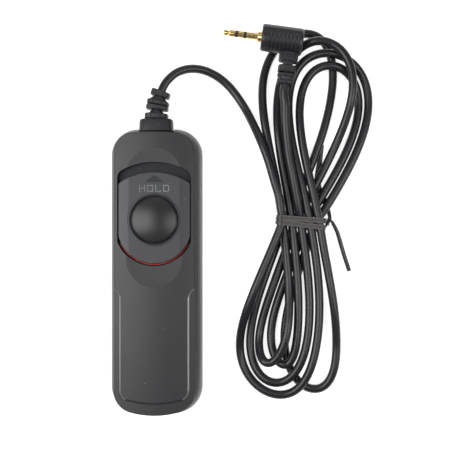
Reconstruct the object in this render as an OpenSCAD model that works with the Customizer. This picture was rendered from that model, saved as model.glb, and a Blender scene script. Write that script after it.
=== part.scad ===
// Wired shutter release: a handset with a two-stage button on a hold slide, a thin cord
// tied in a twisted hank, and a right-angled 2.5 mm stereo plug.
// The handset lies on its back: +Z points out of the button and +Y towards the cord.
// The origin is the middle of the handset's footprint. All sizes are millimetres.

/* [Handset] */
// Overall length of the handset
body_l = 108; // [104:1:120]
// Overall width of the handset
body_w = 34.4; // [33:0.2:40]
// Height of the flat top face
body_h = 17; // [17:0.25:19]
// Height of the joint between the two covers
joint_z = 8; // [7.75:0.25:8.25]
// Wall thickness of the covers
wall = 1.6; // [1.2:0.1:1.8]
// Width of the ledge that the lower cover leaves round the upper one
ledge = 1.8; // [1.6:0.1:2.4]
// How far the upper cover leans in over its height
lean_in = 0.7; // [0.3:0.1:1]
// Corner radius at the cord end
cord_corner_r = 10; // [9:0.5:11]
// Corner radius at the far end
far_corner_r = 10.5; // [9:0.5:11]
// Radius of the slightly crowned cord end
cord_end_r = 100; // [60:5:120]
// Radius of the slightly crowned far end
far_end_r = 35; // [28:1:50]
// How far the panel edge stands over the strip round it
panel_step = 0.3; // [0.2:0.05:0.5]
// Distance from the handset's side to the panel edge
panel_inset = 5.1; // [4.8:0.1:6]

/* [Thumb dish] */
// Width of the shallow dish across the top
dish_w = 20.2; // [18:0.2:22]
// Depth of the dish at its middle line
dish_depth = 0.7; // [0.4:0.1:0.9]
// Distance from the cord end to the dish
dish_from_end = 8.5; // [8:0.5:10]
// Length of the dish
dish_l = 50.5; // [47:0.5:53]

/* [Hold slide] */
// Distance from the handset's side to the slide plate
slide_inset = 4.25; // [4.1:0.05:4.5]
// Distance from the cord end to the crown of the slide plate
slide_from_end = 17.2; // [16.5:0.1:18]
// Length of the slide plate
slide_l = 33.2; // [32.8:0.1:33.8]
// Radius of the upper edge of the slide plate
slide_high_r = 23; // [20:1:30]
// Travel of the slide from free to hold
hold_travel = 3.5; // [2.5:0.1:3.6]
// Clearance round the slide plate
slide_gap = 0.3; // [0.2:0.05:0.4]
// Depth of the recess that the slide runs in
recess_depth = 2.6; // [2.4:0.1:2.8]
// Thickness of the recess floor
recess_floor_t = 1.5; // [1.2:0.1:1.6]

/* [Button] */
// Diameter of the button
button_d = 16.6; // [15.6:0.2:17]
// Distance from the cord end to the button's centre
button_from_end = 34.5; // [34:0.1:35]
// Height of the button's crown over the top face
button_proud = 1.1; // [0.8:0.1:1.6]
// Radius of the button's dome
button_dome_r = 24; // [20:1:40]
// Travel of the button to the second stage
button_travel = 1.6; // [1.5:0.1:1.7]
// Clearance round the button
button_gap = 0.3; // [0.2:0.05:0.4]
// Diameter of the button's stem
stem_d = 5; // [4.6:0.1:5.4]
// Wire of the button spring
spring_wire = 0.5; // [0.4:0.05:0.5]
// Middle diameter of the button spring
spring_d = 9; // [8.6:0.1:9.6]
// Curls of the button spring
spring_curls = 3; // [2:1:3]

/* [Contacts] */
// Thickness of the contact leaves
leaf_t = 0.2; // [0.15:0.05:0.2]
// Width of the contact leaves
leaf_w = 4; // [3:0.5:5]
// Depth of the common leaf under the top face
common_depth = 7.9; // [7.8:0.05:8]
// Travel of the common leaf to the half-press leaf
half_gap = 0.75; // [0.6:0.05:0.8]
// Height between the half-press leaf and the full-press leaf
full_gap = 0.95; // [0.8:0.05:1]
// Distance from the button's centre to the clamped end of the leaves
stack_from_button = 12.5; // [12:0.5:13.5]
// Diameter of the small machine screws
screw_d = 2; // [1.8:0.1:2.2]

/* [Cord] */
// Diameter of the cord
cord_d = 2.9; // [2.7:0.05:3]
// Height of the cord's middle where it leaves the handset
cord_z = 7; // [6.8:0.1:7.2]
// Length of the ribbed sleeve of the strain relief
sleeve_l = 11.6; // [11:0.1:12]
// Width of the block at the foot of the strain relief
boot_w = 12.8; // [12:0.1:13.4]
// Length of the block at the foot of the strain relief
boot_l = 4.8; // [4:0.1:5]

/* [Hank] */
// Place of the middle of the tie
waist_at = [54, 18.8];
// Lean of the hank from the handset's length, in degrees
hank_lean = 5.4; // [3:0.2:8]
// Step from strand to strand at the waist in the upper layer
front_step = 3.5; // [3.5:0.05:3.7]
// Step from strand to strand at the waist in the lower layer
back_step = 3.85; // [3.8:0.05:4]
// Height from layer to layer
layer_step = 3.45; // [3.4:0.05:3.6]
// Height of the lowest strands over the floor at the waist
waist_lift = 1; // [0.9:0.05:1.2]
// Rings of one loop
loop_rings = 24; // [24:2:32]

/* [Plug] */
// Diameter of the plug pin
pin_d = 2.5; // [2.5:0.1:3.5]
// Length of the plug pin
pin_l = 12.7; // [11:0.1:14]
// Diameter of the plug body
plug_d = 10; // [9:0.1:10]
// Length of the plug body
plug_l = 15.3; // [14:0.1:17]
// Height of the plug's axis over the floor
plug_z = 11.4; // [11.3:0.1:12]
// Middle of the plug body
plug_at = [46.6, 85.8];
// Turn of the plug against the handset's width, in degrees
plug_turn = 7.5; // [5:0.5:10]
// Length of the plug's strain relief
plug_relief_l = 11.2; // [10:0.1:12]

/* [Twist tie] */
// Width of the tie's ribbon
tie_w = 1.8; // [1.4:0.1:2]
// Thickness of the tie's ribbon
tie_t = 0.5; // [0.4:0.05:0.6]

/* [Hidden] */

$fn = 48;
fit = 0.05;
seat = 0.1;
half_w = body_w / 2;
half_l = body_l / 2;

// Colours
shell_grey = [0.22, 0.22, 0.23];
button_black = [0.13, 0.13, 0.14];
rubber_black = [0.09, 0.09, 0.1];
signal_red = [0.75, 0.05, 0.05];
gold = [0.83, 0.66, 0.33];
steel = [0.7, 0.7, 0.72];
brass = [0.76, 0.62, 0.32];
moulding = [0.85, 0.83, 0.76];

// Handset outline
foot_inset = ledge;
cavity_inset = ledge + wall;
edge_round = 0.3;
dish_high_y = half_l - dish_from_end;
dish_low_y = dish_high_y - dish_l;
panel_high_y = dish_low_y - 0.4;
panel_bend_y = dish_low_y - 3.8;
panel_low_y = 7.2 - half_l;
panel_crown = 1.2;
panel_corner_r = 3.4;

// Slide
slide_w = body_w - 2 * slide_inset;
slide_high_y = half_l - slide_from_end;
slide_low_y = slide_high_y - slide_l;
slide_low_r = slide_w / 2 + 0.45;
floor_top = body_h - recess_depth;
floor_low = floor_top - recess_floor_t;
tub_wall = 1.2;
slide_top = body_h - seat;
runner_h = 0.5;
slide_low = floor_top + seat + runner_h;
runner_x = slide_w / 2 - 1.35;
runner_w = 1.2;
runner_span = [slide_low_y + 10.4, slide_high_y - 5.8];
slide_corner_r = 1.6;
recess_corner_r = 3;
recess_high_y = slide_high_y + hold_travel + 0.2;
recess_low_r = slide_low_r + 0.9;
slide_arc_y = slide_low_y + slide_low_r;
bezel_w = 1;

// Button cup
button_y = half_l - button_from_end;
bore_r = button_d / 2 + button_gap;
cup_wall = 1.2;
cup_r = bore_r + cup_wall;
cup_floor_top = floor_low;
cup_floor_t = 1.2;
cup_low = cup_floor_top - cup_floor_t;
opening_r = cup_r + slide_gap;
button_top = body_h + button_proud;
button_low = cup_floor_top + button_travel + 0.2;
button_roof_t = 1.5;
spring_top = button_top - button_roof_t;
spring_pocket_r = spring_d / 2 + 1.6;
stem_r = stem_d / 2;
common_z = body_h - common_depth;
stem_low = common_z + 0.3;
stem_fit = 0.06;
clip_t = 0.6;
clip_top = cup_low - seat;
clip_groove_r = stem_r - 0.6;
clip_r = stem_r + 1.7;

// Keeper
keeper_t = 1;
keeper_low = cup_low - keeper_t;
keeper_w = slide_w - 1.3;
keeper_l = 17.6;
keeper_screw_r = 0.7;
keeper_screw_reach = 6.9;
keeper_head_t = 0.6;

// Contact stack
stack_y = button_y + stack_from_button;
half_z = common_z - leaf_t - half_gap;
full_z = half_z - leaf_t - full_gap;
stack_w = 10.4;
stack_l = 7;
leaf_l = 14;
tail_l = 4;
tab_w = 1.6;
tail_step = 3.4;
stack_screw_x = 2.9;
screw_r = screw_d / 2;
stack_cap_t = 0.6;
post_r = 2;
post_top = full_z - leaf_t - 1.8;
rivet_r = 0.9;
rivet_t = 0.2;

// Case screws
case_screw_x = half_w - 6;
case_screw_y = half_l - 9.5;
head_r = screw_r + 0.9;
head_t = 1.5;
head_low = 1.5;
head_seat = head_low + head_t;
boss_r = 2.5;
post_outer_r = 3.1;
screw_reach = body_h - 3.8;

// Cord clamp
cord_r = cord_d / 2;
clamp_y = half_l - 9;
clamp_l = 3;
clamp_x = 4.6;
clamp_low = cord_z + 1.4;
clamp_t = 1.8;
cord_inner_y = clamp_y - 2.5;
conductor_d = 0.9;

// Strain relief
wall_out_y = half_l - foot_inset;
wall_in_y = half_l - cavity_inset;
boot_y = wall_out_y + seat;
boot_h = 9.4;
neck_w = 7;
neck_h = 5.6;
flange_w = 10.6;
flange_h = 7.6;
flange_t = 1.6;
flange_y = wall_in_y - 0.7 - flange_t;
sleeve_y = boot_y + boot_l;
sleeve_bend = 0.017;
cord_bore_r = cord_r + 0.12;

// The sleeve bends at three joints
sleeve_step = sleeve_l / 3;
function sleeve_joint(k) = [sleeve_bend * pow(k * sleeve_step, 2), sleeve_y + k * sleeve_step, cord_z];

// Route of the free cord from the clamp to the tie, then from the tie to the plug
lead_route = [
    [0, cord_inner_y, cord_z], [0, half_l - 4, cord_z],
    sleeve_joint(0), sleeve_joint(1), sleeve_joint(2), sleeve_joint(3),
    [4.2, 71.8, 6.7], [7.6, 74.8, 5.9], [12.2, 76.4, 4.7], [17.2, 76.2, 3.4],
    [22.2, 74.2, 2.3], [26.6, 70.8, 1.6], [30.4, 66.2, 1.5], [33.8, 60.6, 2.6],
    [36.8, 54, 6.1], [39.5, 47.4, 8.8], [41.8, 41, 9.5], [43.8, 34, 9.6], [45.6, 28, 9.5]
];
plug_route = [
    [52.8, 24.9, 7.2], [51.6, 31.1, 8.1], [50.8, 35.4, 8.6], [49.9, 39.8, 9],
    [49, 44.6, 9.3], [48.3, 50, 9.9], [47.8, 56, 10.7], [47.7, 62, 11.3]
];

// Hank: five loops below the tie and four above it. The strands cross at the waist,
// where five run in the upper layer and four in the lower one.
back_z = cord_r + waist_lift;
front_z = back_z + layer_step;
over_z = front_z + layer_step;
front_order = [3, 4, 1, 0, 2];
back_order = [3, 2, 1, 0];
// Loops below the tie: reach of the first side, of the second side, offset of the crown,
// length from the tie, then the layer at the first side, at the crown and at the second side
low_loops = [
    [-18.4, 10, -2.5, 65.6, 0, 0.7, 1.3],
    [-1.6, 18, 11, 62.6, 0, 0, 0.4],
    [-6.9, 2.6, -1.2, 54, 0, 1, 1.3],
    [-10.8, -1.4, -7.5, 53.6, 0, 1.6, 2.2],
    [-14.7, 6.5, -4, 61.2, 0, 0.7, 1.3]
];
// Loops above the tie, in the same terms
high_loops = [
    [-8.8, 21.8, 5.2, 64.2, 1, 1, 0],
    [-4.4, 18, 6.2, 59.6, 1, 1, 0],
    [-12.6, 14.2, 1.2, 67.8, 0, 1.9, 2.2],
    [-18.9, 7.4, -3.8, 71.5, 0, 0, 0]
];
low_draw = [0.92, 0.95];
high_draw = [0.84, 1.08];
layer_marks = [0, 22, 50, 90, 130, 158, 180];
straight_run = [-0.88, 3];
end_climb = 0.6;

function front_slot(i) = (i - 2) * front_step;
function back_slot(i) = (i - 1.5) * back_step;
function layer_z(n) = cord_r + n * layer_step;
function ease(t) = t * t * (3 - 2 * t);
function mark_of(a) = min([for (i = [1:len(layer_marks) - 1]) if (a <= layer_marks[i]) i]);
function eased(values, a) =
    let (
        i = mark_of(a),
        t = (a - layer_marks[i - 1]) / (layer_marks[i] - layer_marks[i - 1])
    )
    values[i - 1] + (values[i] - values[i - 1]) * ease(t);

// One loop from the tie and back, in the hank's own plane
function loop_points(side, from, to, shape, draw, last) =
    let (
        mid = (from[0] + to[0]) / 2,
        tilt = (from[0] - to[0]) / 2,
        crown = shape[2] - mid,
        first = shape[0] - mid - tilt * cos(45) - crown / 2,
        second = shape[1] - mid + tilt * cos(45) - crown / 2,
        spread = (second - first) / 2,
        drift = (second + first) / 2,
        heights = [
            from[1], from[1], layer_z(shape[4]), layer_z(shape[5]), layer_z(shape[6]), to[1], to[1]
        ]
    )
    [for (k = [0:loop_rings - (last ? 0 : 1)])
        let (
            a = 180 * k / loop_rings,
            pull = draw[0] + (draw[1] - draw[0]) * (1 - cos(a)) / 2
        )
        [
            mid + tilt * cos(a) + crown * pow(sin(a), 2) + drift * pow(sin(2 * a), 2)
                - spread * sin(2 * a),
            side * shape[3] * pow(max(0, sin(a)), pull),
            eased(heights, a)
        ]
    ];

function to_hank(p) = [
    waist_at[0] + p[0] * cos(hank_lean) + p[1] * sin(hank_lean),
    waist_at[1] - p[0] * sin(hank_lean) + p[1] * cos(hank_lean),
    p[2]
];

first_slot = front_slot(0);
hank_in = [first_slot + straight_run[0], straight_run[1], over_z];
hank_out = [front_slot(front_order[4]) + straight_run[0], straight_run[1], front_z + end_climb];
hank_plan = concat(
    [hank_in],
    [for (k = [0:4])
        let (
            start = k == 0
                ? [first_slot, over_z]
                : [back_slot(back_order[k - 1]), back_z],
            end = [front_slot(front_order[k]), front_z],
            under = loop_points(-1, start, end, low_loops[k], low_draw, k == 4),
            over = k == 4 ? [] : loop_points(
                1, end, [back_slot(back_order[k]), back_z], high_loops[k], high_draw, false)
        )
        each concat(under, over)
    ],
    [hank_out]
);
hank_route = [for (p = hank_plan) to_hank(p)];

// Measures of the cord
function span(a, b) = norm(b - a);
function length_of(path) = len(path) < 2 ? 0
    : [for (i = [0:len(path) - 2]) span(path[i], path[i + 1])] * [for (i = [0:len(path) - 2]) 1];
function clamp01(t) = min(1, max(0, t));
function point_to_run(p, a, b) =
    let (ab = b - a, t = clamp01((p - a) * ab / (ab * ab)))
    norm(p - a - t * ab);
function least_gap(path, skip) = min([
    for (i = [0:len(path) - 1], j = [0:len(path) - 2])
        if (abs(j - i) > skip && abs(j + 1 - i) > skip)
            point_to_run(path[i], path[j], path[j + 1])
]) - cord_d;

visible_lead = [for (i = [5:len(lead_route) - 1]) lead_route[i]];

// A tube along a route: rings of a regular polygon, closed at both ends.
// The rings at the ends stand square to the end directions when these are given.
function unit(v) = v / norm(v);
function heading(path, i, first, last) =
    i == 0 ? (is_undef(first) ? unit(path[1] - path[0]) : unit(first))
    : i == len(path) - 1 ? (is_undef(last) ? unit(path[i] - path[i - 1]) : unit(last))
    : unit(unit(path[i + 1] - path[i]) + unit(path[i] - path[i - 1]));
function ring(p, dir, r, sides) =
    let (
        across = unit(cross(dir, [0, 0, 1])),
        up = cross(across, dir)
    )
    [for (k = [0:sides - 1])
        let (a = 360 * (k + 0.5) / sides)
        p + r * (cos(a) * across + sin(a) * up)
    ];

module tube(path, d, sides, first, last) {
    n = len(path);
    points = [for (i = [0:n - 1]) each ring(path[i], heading(path, i, first, last), d / 2, sides)];
    skins = [for (i = [0:n - 2], k = [0:sides - 1])
        let (
            a = i * sides + k,
            b = i * sides + (k + 1) % sides,
            c = a + sides,
            e = b + sides
        )
        each [[a, b, e], [a, e, c]]
    ];
    foot = [for (k = [1:sides - 2]) [0, k + 1, k]];
    top = (n - 1) * sides;
    cap = [for (k = [1:sides - 2]) [top, top + k, top + k + 1]];
    polyhedron(points, concat(foot, skins, cap), convexity = 10);
}

// Points of an arc about c
function arc(c, r, from, to, n) =
    [for (i = [0:n]) let (a = from + (to - from) * i / n) [c[0] + r * cos(a), c[1] + r * sin(a)]];

// Outline of the handset, moved in by inset: round corners that run into the crowned ends
function end_points(r, crown_r, inset) =
    let (
        reach = sqrt(pow(crown_r - r, 2) - pow(half_w - r, 2)),
        c = [half_w - r, half_l - crown_r + reach],
        turn = atan2(reach, c[0]),
        corner = arc(c, r - inset, 0, turn, 7),
        crown = arc([0, half_l - crown_r], crown_r - inset, turn, 180 - turn, 6)
    )
    concat(corner, [for (i = [1:5]) crown[i]], [for (i = [7:-1:0]) [-corner[i][0], corner[i][1]]]);
function outline(inset) = concat(
    end_points(cord_corner_r, cord_end_r, inset),
    [for (p = end_points(far_corner_r, far_end_r, inset)) -p]
);

// Solid through the outline at several heights: [height, inset] from the floor up
module loft(levels) {
    rings = [for (l = levels) [for (p = outline(l[1])) [p[0], p[1], l[0]]]];
    n = len(rings[0]);
    m = len(levels);
    points = [for (r = rings) each r];
    sides = [for (i = [0:m - 2], k = [0:n - 1])
        let (a = i * n + k, b = i * n + (k + 1) % n)
        each [[a, b + n, b], [a, a + n, b + n]]
    ];
    foot = [for (k = [1:n - 2]) [0, k, k + 1]];
    top = (m - 1) * n;
    cap = [for (k = [1:n - 2]) [top, top + k + 1, top + k]];
    polyhedron(points, concat(foot, sides, cap), convexity = 4);
}

// Plate outline with a round lower end and a crowned upper end
function plate(w, low_y, low_r, high_y, high_r, corner) =
    let (
        h = w / 2,
        low_c = [0, low_y + low_r],
        low_a = acos(min(1, h / low_r)),
        high_c = [0, high_y - high_r],
        cx = h - corner,
        cy = high_c[1] + sqrt(pow(high_r - corner, 2) - cx * cx),
        turn = atan2(cy - high_c[1], cx)
    )
    concat(
        arc(low_c, low_r, 180 + low_a, 360 - low_a, 28),
        arc([cx, cy], corner, 0, turn, 6),
        arc(high_c, high_r, turn, 180 - turn, 14),
        arc([-cx, cy], corner, 180 - turn, 180, 6)
    );

slide_outline = plate(slide_w, slide_low_y, slide_low_r, slide_high_y, slide_high_r, slide_corner_r);

module recess_outline(grow) {
    polygon(plate(
        slide_w + 2 * (slide_gap + grow), slide_arc_y - recess_low_r - grow, recess_low_r + grow,
        recess_high_y + grow, slide_high_r + grow, recess_corner_r + grow
    ));
}

// The dish is a long round trough with round ends
dish_r = (pow(dish_w / 2, 2) + pow(dish_depth, 2)) / (2 * dish_depth);
dish_mid_high = dish_high_y - dish_w / 2;
dish_mid_low = dish_low_y + dish_w / 2;

module dish(lift) {
    rise = body_h - dish_depth + dish_r + lift;
    reach = dish_w;
    translate([0, 0, rise]) {
        intersection() {
            translate([0, dish_mid_high, 0]) rotate([90, 0, 0])
                cylinder(r = dish_r, h = dish_mid_high - dish_mid_low, $fn = 96);
            translate([-reach, dish_mid_low, -dish_r - 1])
                cube([2 * reach, dish_mid_high - dish_mid_low, reach]);
        }
        for (end = [[dish_mid_high, 0], [dish_mid_low, -reach]])
            intersection() {
                translate([0, end[0], 0]) sphere(r = dish_r, $fn = 96);
                translate([-reach, end[0] + end[1], -dish_r - 1]) cube([2 * reach, reach, reach]);
            }
    }
}

// Raised panel: its edge runs in from the sides, down and round the far end
panel_x = half_w - panel_inset;
panel_mouth_x = half_w - foot_inset - lean_in;
function panel_points() =
    let (
        c = [panel_x - panel_corner_r, panel_low_y + panel_crown + panel_corner_r],
        bow_r = (pow(c[0], 2) + pow(panel_crown, 2)) / (2 * panel_crown),
        bow = asin(c[0] / bow_r),
        right = concat(
            arc([0, panel_low_y + bow_r], bow_r, 270, 270 + bow, 6),
            arc(c, panel_corner_r, -80, 0, 6),
            [[panel_x, panel_bend_y], [panel_x + 0.5, panel_bend_y + 1.6],
             [panel_mouth_x, panel_high_y]]
        )
    )
    concat(right, [for (i = [len(right) - 1:-1:1]) [-right[i][0], right[i][1]]]);

module panel_strip() {
    translate([0, 0, body_h - panel_step]) linear_extrude(2 * panel_step)
        difference() {
            translate([-body_w, -body_l]) square([2 * body_w, body_l + panel_high_y]);
            polygon(panel_points());
        }
}

module corners() {
    for (sx = [-1, 1], sy = [-1, 1]) translate([sx * case_screw_x, sy * case_screw_y]) children();
}

// Bar along Y with rounded long edges
module rounded_slot(w, h, l) {
    r = min(w, h) / 3;
    x = w / 2 - r;
    y = h / 2 - r;
    rotate([-90, 0, 0]) linear_extrude(l) polygon(concat(
        arc([x, y], r, 0, 90, 5), arc([-x, y], r, 90, 180, 5),
        arc([-x, -y], r, 180, 270, 5), arc([x, -y], r, 270, 360, 5)
    ));
}

module neck_hole() {
    translate([0, wall_in_y - 1, cord_z])
        rounded_slot(neck_w + 2 * seat, neck_h + 2 * seat, wall + 2);
}

module top_cover() color(shell_grey) {
    difference() {
        union() {
            difference() {
                loft([
                    [joint_z, foot_inset], [body_h - 1.1, foot_inset + lean_in - 0.1],
                    [body_h - edge_round, foot_inset + lean_in],
                    [body_h, foot_inset + lean_in + edge_round]
                ]);
                loft([
                    [joint_z - 1, cavity_inset], [body_h - wall - 1, cavity_inset + lean_in],
                    [body_h - wall, cavity_inset + lean_in + 1]
                ]);
            }
            translate([0, 0, floor_low]) linear_extrude(body_h - wall - floor_low + 0.5)
                recess_outline(tub_wall);
            corners() translate([0, 0, joint_z]) cylinder(r = boss_r, h = body_h - wall / 2 - joint_z);
        }
        translate([0, 0, floor_top]) linear_extrude(recess_depth + 1) recess_outline(0);
        for (y = [button_y, button_y + hold_travel])
            translate([0, y, floor_low - 1]) cylinder(r = opening_r, h = recess_floor_t + 2);
        translate([-opening_r, button_y, floor_low - 1])
            cube([2 * opening_r, hold_travel, recess_floor_t + 2]);
        dish(0);
        panel_strip();
        corners() translate([0, 0, joint_z - 1]) cylinder(r = screw_r + 0.03, h = screw_reach + 1.8 - joint_z);
        neck_hole();
    }
}

module bottom_cover() color(shell_grey) {
    difference() {
        union() {
            difference() {
                loft([
                    [0, 2], [0.8, 0.9], [2.2, 0.2], [4, 0],
                    [joint_z - 2, 0.3], [joint_z - 0.7, 1], [joint_z, foot_inset]
                ]);
                translate([0, 0, wall]) linear_extrude(joint_z) polygon(outline(cavity_inset));
            }
            corners() translate([0, 0, wall / 2]) cylinder(r = post_outer_r, h = joint_z - wall / 2);
            for (sx = [-1, 1]) {
                translate([sx * stack_screw_x, stack_y, wall / 2])
                    cylinder(r = post_r, h = post_top - wall / 2);
                translate([sx * clamp_x, clamp_y, wall / 2])
                    cylinder(r = post_r, h = clamp_low - wall / 2);
            }
            translate([-2, clamp_y - clamp_l / 2, wall / 2])
                cube([4, clamp_l, cord_z - cord_r - fit - wall / 2]);
        }
        corners() {
            translate([0, 0, -1]) cylinder(r = head_r + 0.2, h = head_seat + 1);
            cylinder(r = screw_r + 0.15, h = joint_z + 1);
        }
        for (sx = [-1, 1]) {
            translate([sx * stack_screw_x, stack_y, wall + 0.4])
                cylinder(r = screw_r + 0.03, h = post_top);
            translate([sx * clamp_x, clamp_y, wall + 0.4]) cylinder(r = screw_r + 0.03, h = joint_z);
        }
        neck_hole();
        translate([-boot_w / 2 - 0.2, wall_out_y - seat, cord_z - boot_h / 2 - 0.2])
            cube([boot_w + 0.4, half_l, boot_h + 0.4]);
    }
}

module screw(head_r, head_t, r, l) {
    difference() {
        union() {
            cylinder(r = head_r, h = head_t);
            translate([0, 0, head_t]) cylinder(r = r, h = l);
        }
        for (turn = [0, 90]) rotate(turn)
            translate([-head_r * 0.6, -head_r * 0.12, -1]) cube([head_r * 1.2, head_r * 0.24, 1 + head_t / 2]);
    }
}

module case_screws() color(steel) {
    corners() translate([0, 0, head_low]) screw(head_r, head_t, screw_r, screw_reach - head_seat);
}

// Hold slide: plate, cup for the button, runners, arrow and word
letter_h = 2.6;
letter_w = 2.25;
letter_step = 2.9;
letter_y = slide_high_y - 7.2;
stroke = 0.45;
mark_lift = 0.15;

module bar(x, y, w, h) {
    translate([x, y]) square([w, h]);
}

module letter_shape(i) {
    if (i == 0) {
        bar(0, 0, stroke, letter_h);
        bar(letter_w - stroke, 0, stroke, letter_h);
        bar(0, (letter_h - stroke) / 2, letter_w, stroke);
    }
    if (i == 1) difference() {
        bar(0, 0, letter_w, letter_h);
        bar(stroke, stroke, letter_w - 2 * stroke, letter_h - 2 * stroke);
    }
    if (i == 2) {
        bar(0, 0, stroke, letter_h);
        bar(0, 0, letter_w, stroke);
    }
    if (i == 3) difference() {
        polygon([
            [0, 0], [letter_w - 0.6, 0], [letter_w, 0.6], [letter_w, letter_h - 0.6],
            [letter_w - 0.6, letter_h], [0, letter_h]
        ]);
        bar(stroke, stroke, letter_w - 2 * stroke, letter_h - 2 * stroke);
    }
}

module slide_marks() {
    marks_x = -(3 * letter_step + letter_w) / 2;
    for (i = [0:3]) translate([marks_x + i * letter_step, letter_y]) letter_shape(i);
    polygon([[-3.3, letter_y + 3.6], [3.3, letter_y + 3.6], [0, letter_y + 6.2]]);
}

module hold_slider() color(shell_grey) {
    difference() {
        union() {
            difference() {
                union() {
                    translate([0, 0, slide_low]) linear_extrude(slide_top - slide_low)
                        polygon(slide_outline);
                    for (sx = [-1, 1])
                        translate([sx * runner_x - runner_w / 2, runner_span[0], floor_top + seat])
                            cube([runner_w, runner_span[1] - runner_span[0], runner_h + 0.2]);
                }
                dish(0);
            }
            difference() {
                translate([0, 0, slide_low]) linear_extrude(body_h - slide_low) slide_marks();
                dish(mark_lift);
            }
            translate([0, button_y, cup_low]) cylinder(r = cup_r, h = slide_low + 0.5 - cup_low);
            translate([0, button_y, slide_low])
                cylinder(r = bore_r + bezel_w, h = body_h - 0.3 - slide_low);
        }
        translate([0, button_y, cup_floor_top]) cylinder(r = bore_r, h = body_h);
        translate([0, button_y, body_h - 0.8])
            cylinder(r1 = bore_r, r2 = bore_r + 0.7, h = 0.7);
        translate([0, button_y, cup_low - 1]) cylinder(r = stem_r + stem_fit, h = body_h);
        for (sy = [-1, 1]) translate([0, button_y + sy * keeper_screw_reach, cup_low - 1])
            cylinder(r = keeper_screw_r + 0.03, h = 1 + cup_floor_t - 0.2);
    }
}

module slider_keeper() color(moulding) {
    difference() {
        translate([-keeper_w / 2, button_y - keeper_l / 2, keeper_low])
            cube([keeper_w, keeper_l, floor_low - seat - keeper_low]);
        translate([-opening_r, button_y - keeper_l, cup_low])
            cube([2 * opening_r, 2 * keeper_l, keeper_t + 2]);
        translate([0, button_y, keeper_low - 1]) cylinder(r = clip_r + 0.5, h = keeper_t + 2);
        for (sy = [-1, 1]) translate([0, button_y + sy * keeper_screw_reach, keeper_low - 1])
            cylinder(r = keeper_screw_r + 0.1, h = keeper_t + 2);
    }
}

module keeper_screws() color(steel) {
    for (sy = [-1, 1])
        translate([0, button_y + sy * keeper_screw_reach, keeper_low - keeper_head_t])
            screw(keeper_screw_r + 0.6, keeper_head_t, keeper_screw_r, keeper_t + cup_floor_t - 0.4);
}

// Red plate on the recess floor with a rim in the gap below the slide
red_t = 0.4;
red_rim_t = 0.4;
red_rim_h = 1.5;
red_in_r = 10.5;
red_cut_y = slide_arc_y - 5;

module red_indicator() color(signal_red) {
    rim_r = slide_low_r + 0.15;
    intersection() {
        translate([0, slide_arc_y, floor_top]) difference() {
            union() {
                cylinder(r = rim_r + red_rim_t, h = red_t);
                difference() {
                    cylinder(r = rim_r + red_rim_t, h = red_t + red_rim_h);
                    translate([0, 0, red_t]) cylinder(r = rim_r, h = red_rim_h + 1);
                }
            }
            translate([0, 0, -1]) cylinder(r = red_in_r, h = red_rim_h + 2);
        }
        translate([-body_w, -body_l, 0]) cube([2 * body_w, body_l + red_cut_y, body_h]);
    }
}

module shutter_button() color(button_black) {
    r = button_d / 2;
    dome_c = button_top - button_dome_r;
    edge_a = asin((r - 0.5) / button_dome_r);
    edge_z = dome_c + button_dome_r * cos(edge_a);
    dome = arc([0, dome_c], button_dome_r, 90, 90 - edge_a, 12);
    translate([0, button_y, 0]) rotate_extrude($fn = 72) polygon(concat(
        dome,
        [
            [r - 0.12, edge_z - 0.25], [r, edge_z - 0.7], [r, button_low], [spring_pocket_r, button_low],
            [spring_pocket_r, spring_top], [stem_r, spring_top],
            [stem_r, clip_top], [clip_groove_r, clip_top],
            [clip_groove_r, clip_top - clip_t - fit], [stem_r, clip_top - clip_t - fit],
            [stem_r, stem_low + 0.4], [stem_r - 0.5, stem_low], [0, stem_low]
        ]
    ));
}

module button_clip() color(steel) {
    translate([0, button_y, clip_top - clip_t]) difference() {
        cylinder(r = clip_r, h = clip_t);
        translate([0, 0, -1]) cylinder(r = clip_groove_r + 0.04, h = clip_t + 2);
        translate([0, -clip_groove_r * 0.8, -1]) cube([clip_r + 1, clip_groove_r * 1.6, clip_t + 2]);
    }
}

// Coil spring between the cup's floor and the button's roof
spring_rings = 8;

function spring_route() =
    let (
        low = cup_floor_top + spring_wire / 2 + fit,
        high = spring_top - spring_wire / 2 - fit,
        n = spring_curls * spring_rings,
        step = spring_wire
    )
    concat(
        [[spring_d / 2, button_y - step, low]],
        [for (k = [0:n])
            let (a = 360 * k / spring_rings)
            [spring_d / 2 * cos(a), button_y + spring_d / 2 * sin(a), low + (high - low) * k / n]
        ],
        [[spring_d / 2, button_y + step, high]]
    );

module button_spring() color(steel) {
    tube(spring_route(), spring_wire, 6);
}

// Contact stack
module stack_hole(r) {
    for (sx = [-1, 1]) translate([sx * stack_screw_x, stack_y, 0]) cylinder(r = r, h = body_h);
}

module stack_block(low, high) {
    translate([-stack_w / 2, stack_y - stack_l / 2, low]) cube([stack_w, stack_l, high - low]);
}

module contact_base() color(button_black) {
    difference() {
        stack_block(wall + fit, full_z - leaf_t);
        stack_hole(screw_r + 0.1);
        for (sx = [-1, 1]) translate([sx * stack_screw_x, stack_y, 0])
            cylinder(r = post_r + seat, h = post_top + seat);
    }
}

module leaf(top, tail_x) {
    difference() {
        union() {
            stack_block(top - leaf_t, top);
            translate([-leaf_w / 2, stack_y - stack_l / 2 - leaf_l, top - leaf_t])
                cube([leaf_w, leaf_l + 1, leaf_t]);
            translate([tail_x - tab_w / 2, stack_y + stack_l / 2 - 1, top - leaf_t])
                cube([tab_w, tail_l + 1, leaf_t]);
        }
        stack_hole(screw_r + 0.1);
    }
}

module leaf_rivet(z) {
    translate([0, stack_y - stack_l / 2 - leaf_l + 1.6, z]) cylinder(r = rivet_r, h = rivet_t);
}

module common_leaf() color(brass) {
    leaf(common_z, 0);
    leaf_rivet(common_z - leaf_t - rivet_t);
}

module half_press_leaf() color(brass) {
    leaf(half_z, -tail_step);
    leaf_rivet(half_z - leaf_t - rivet_t);
}

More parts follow.
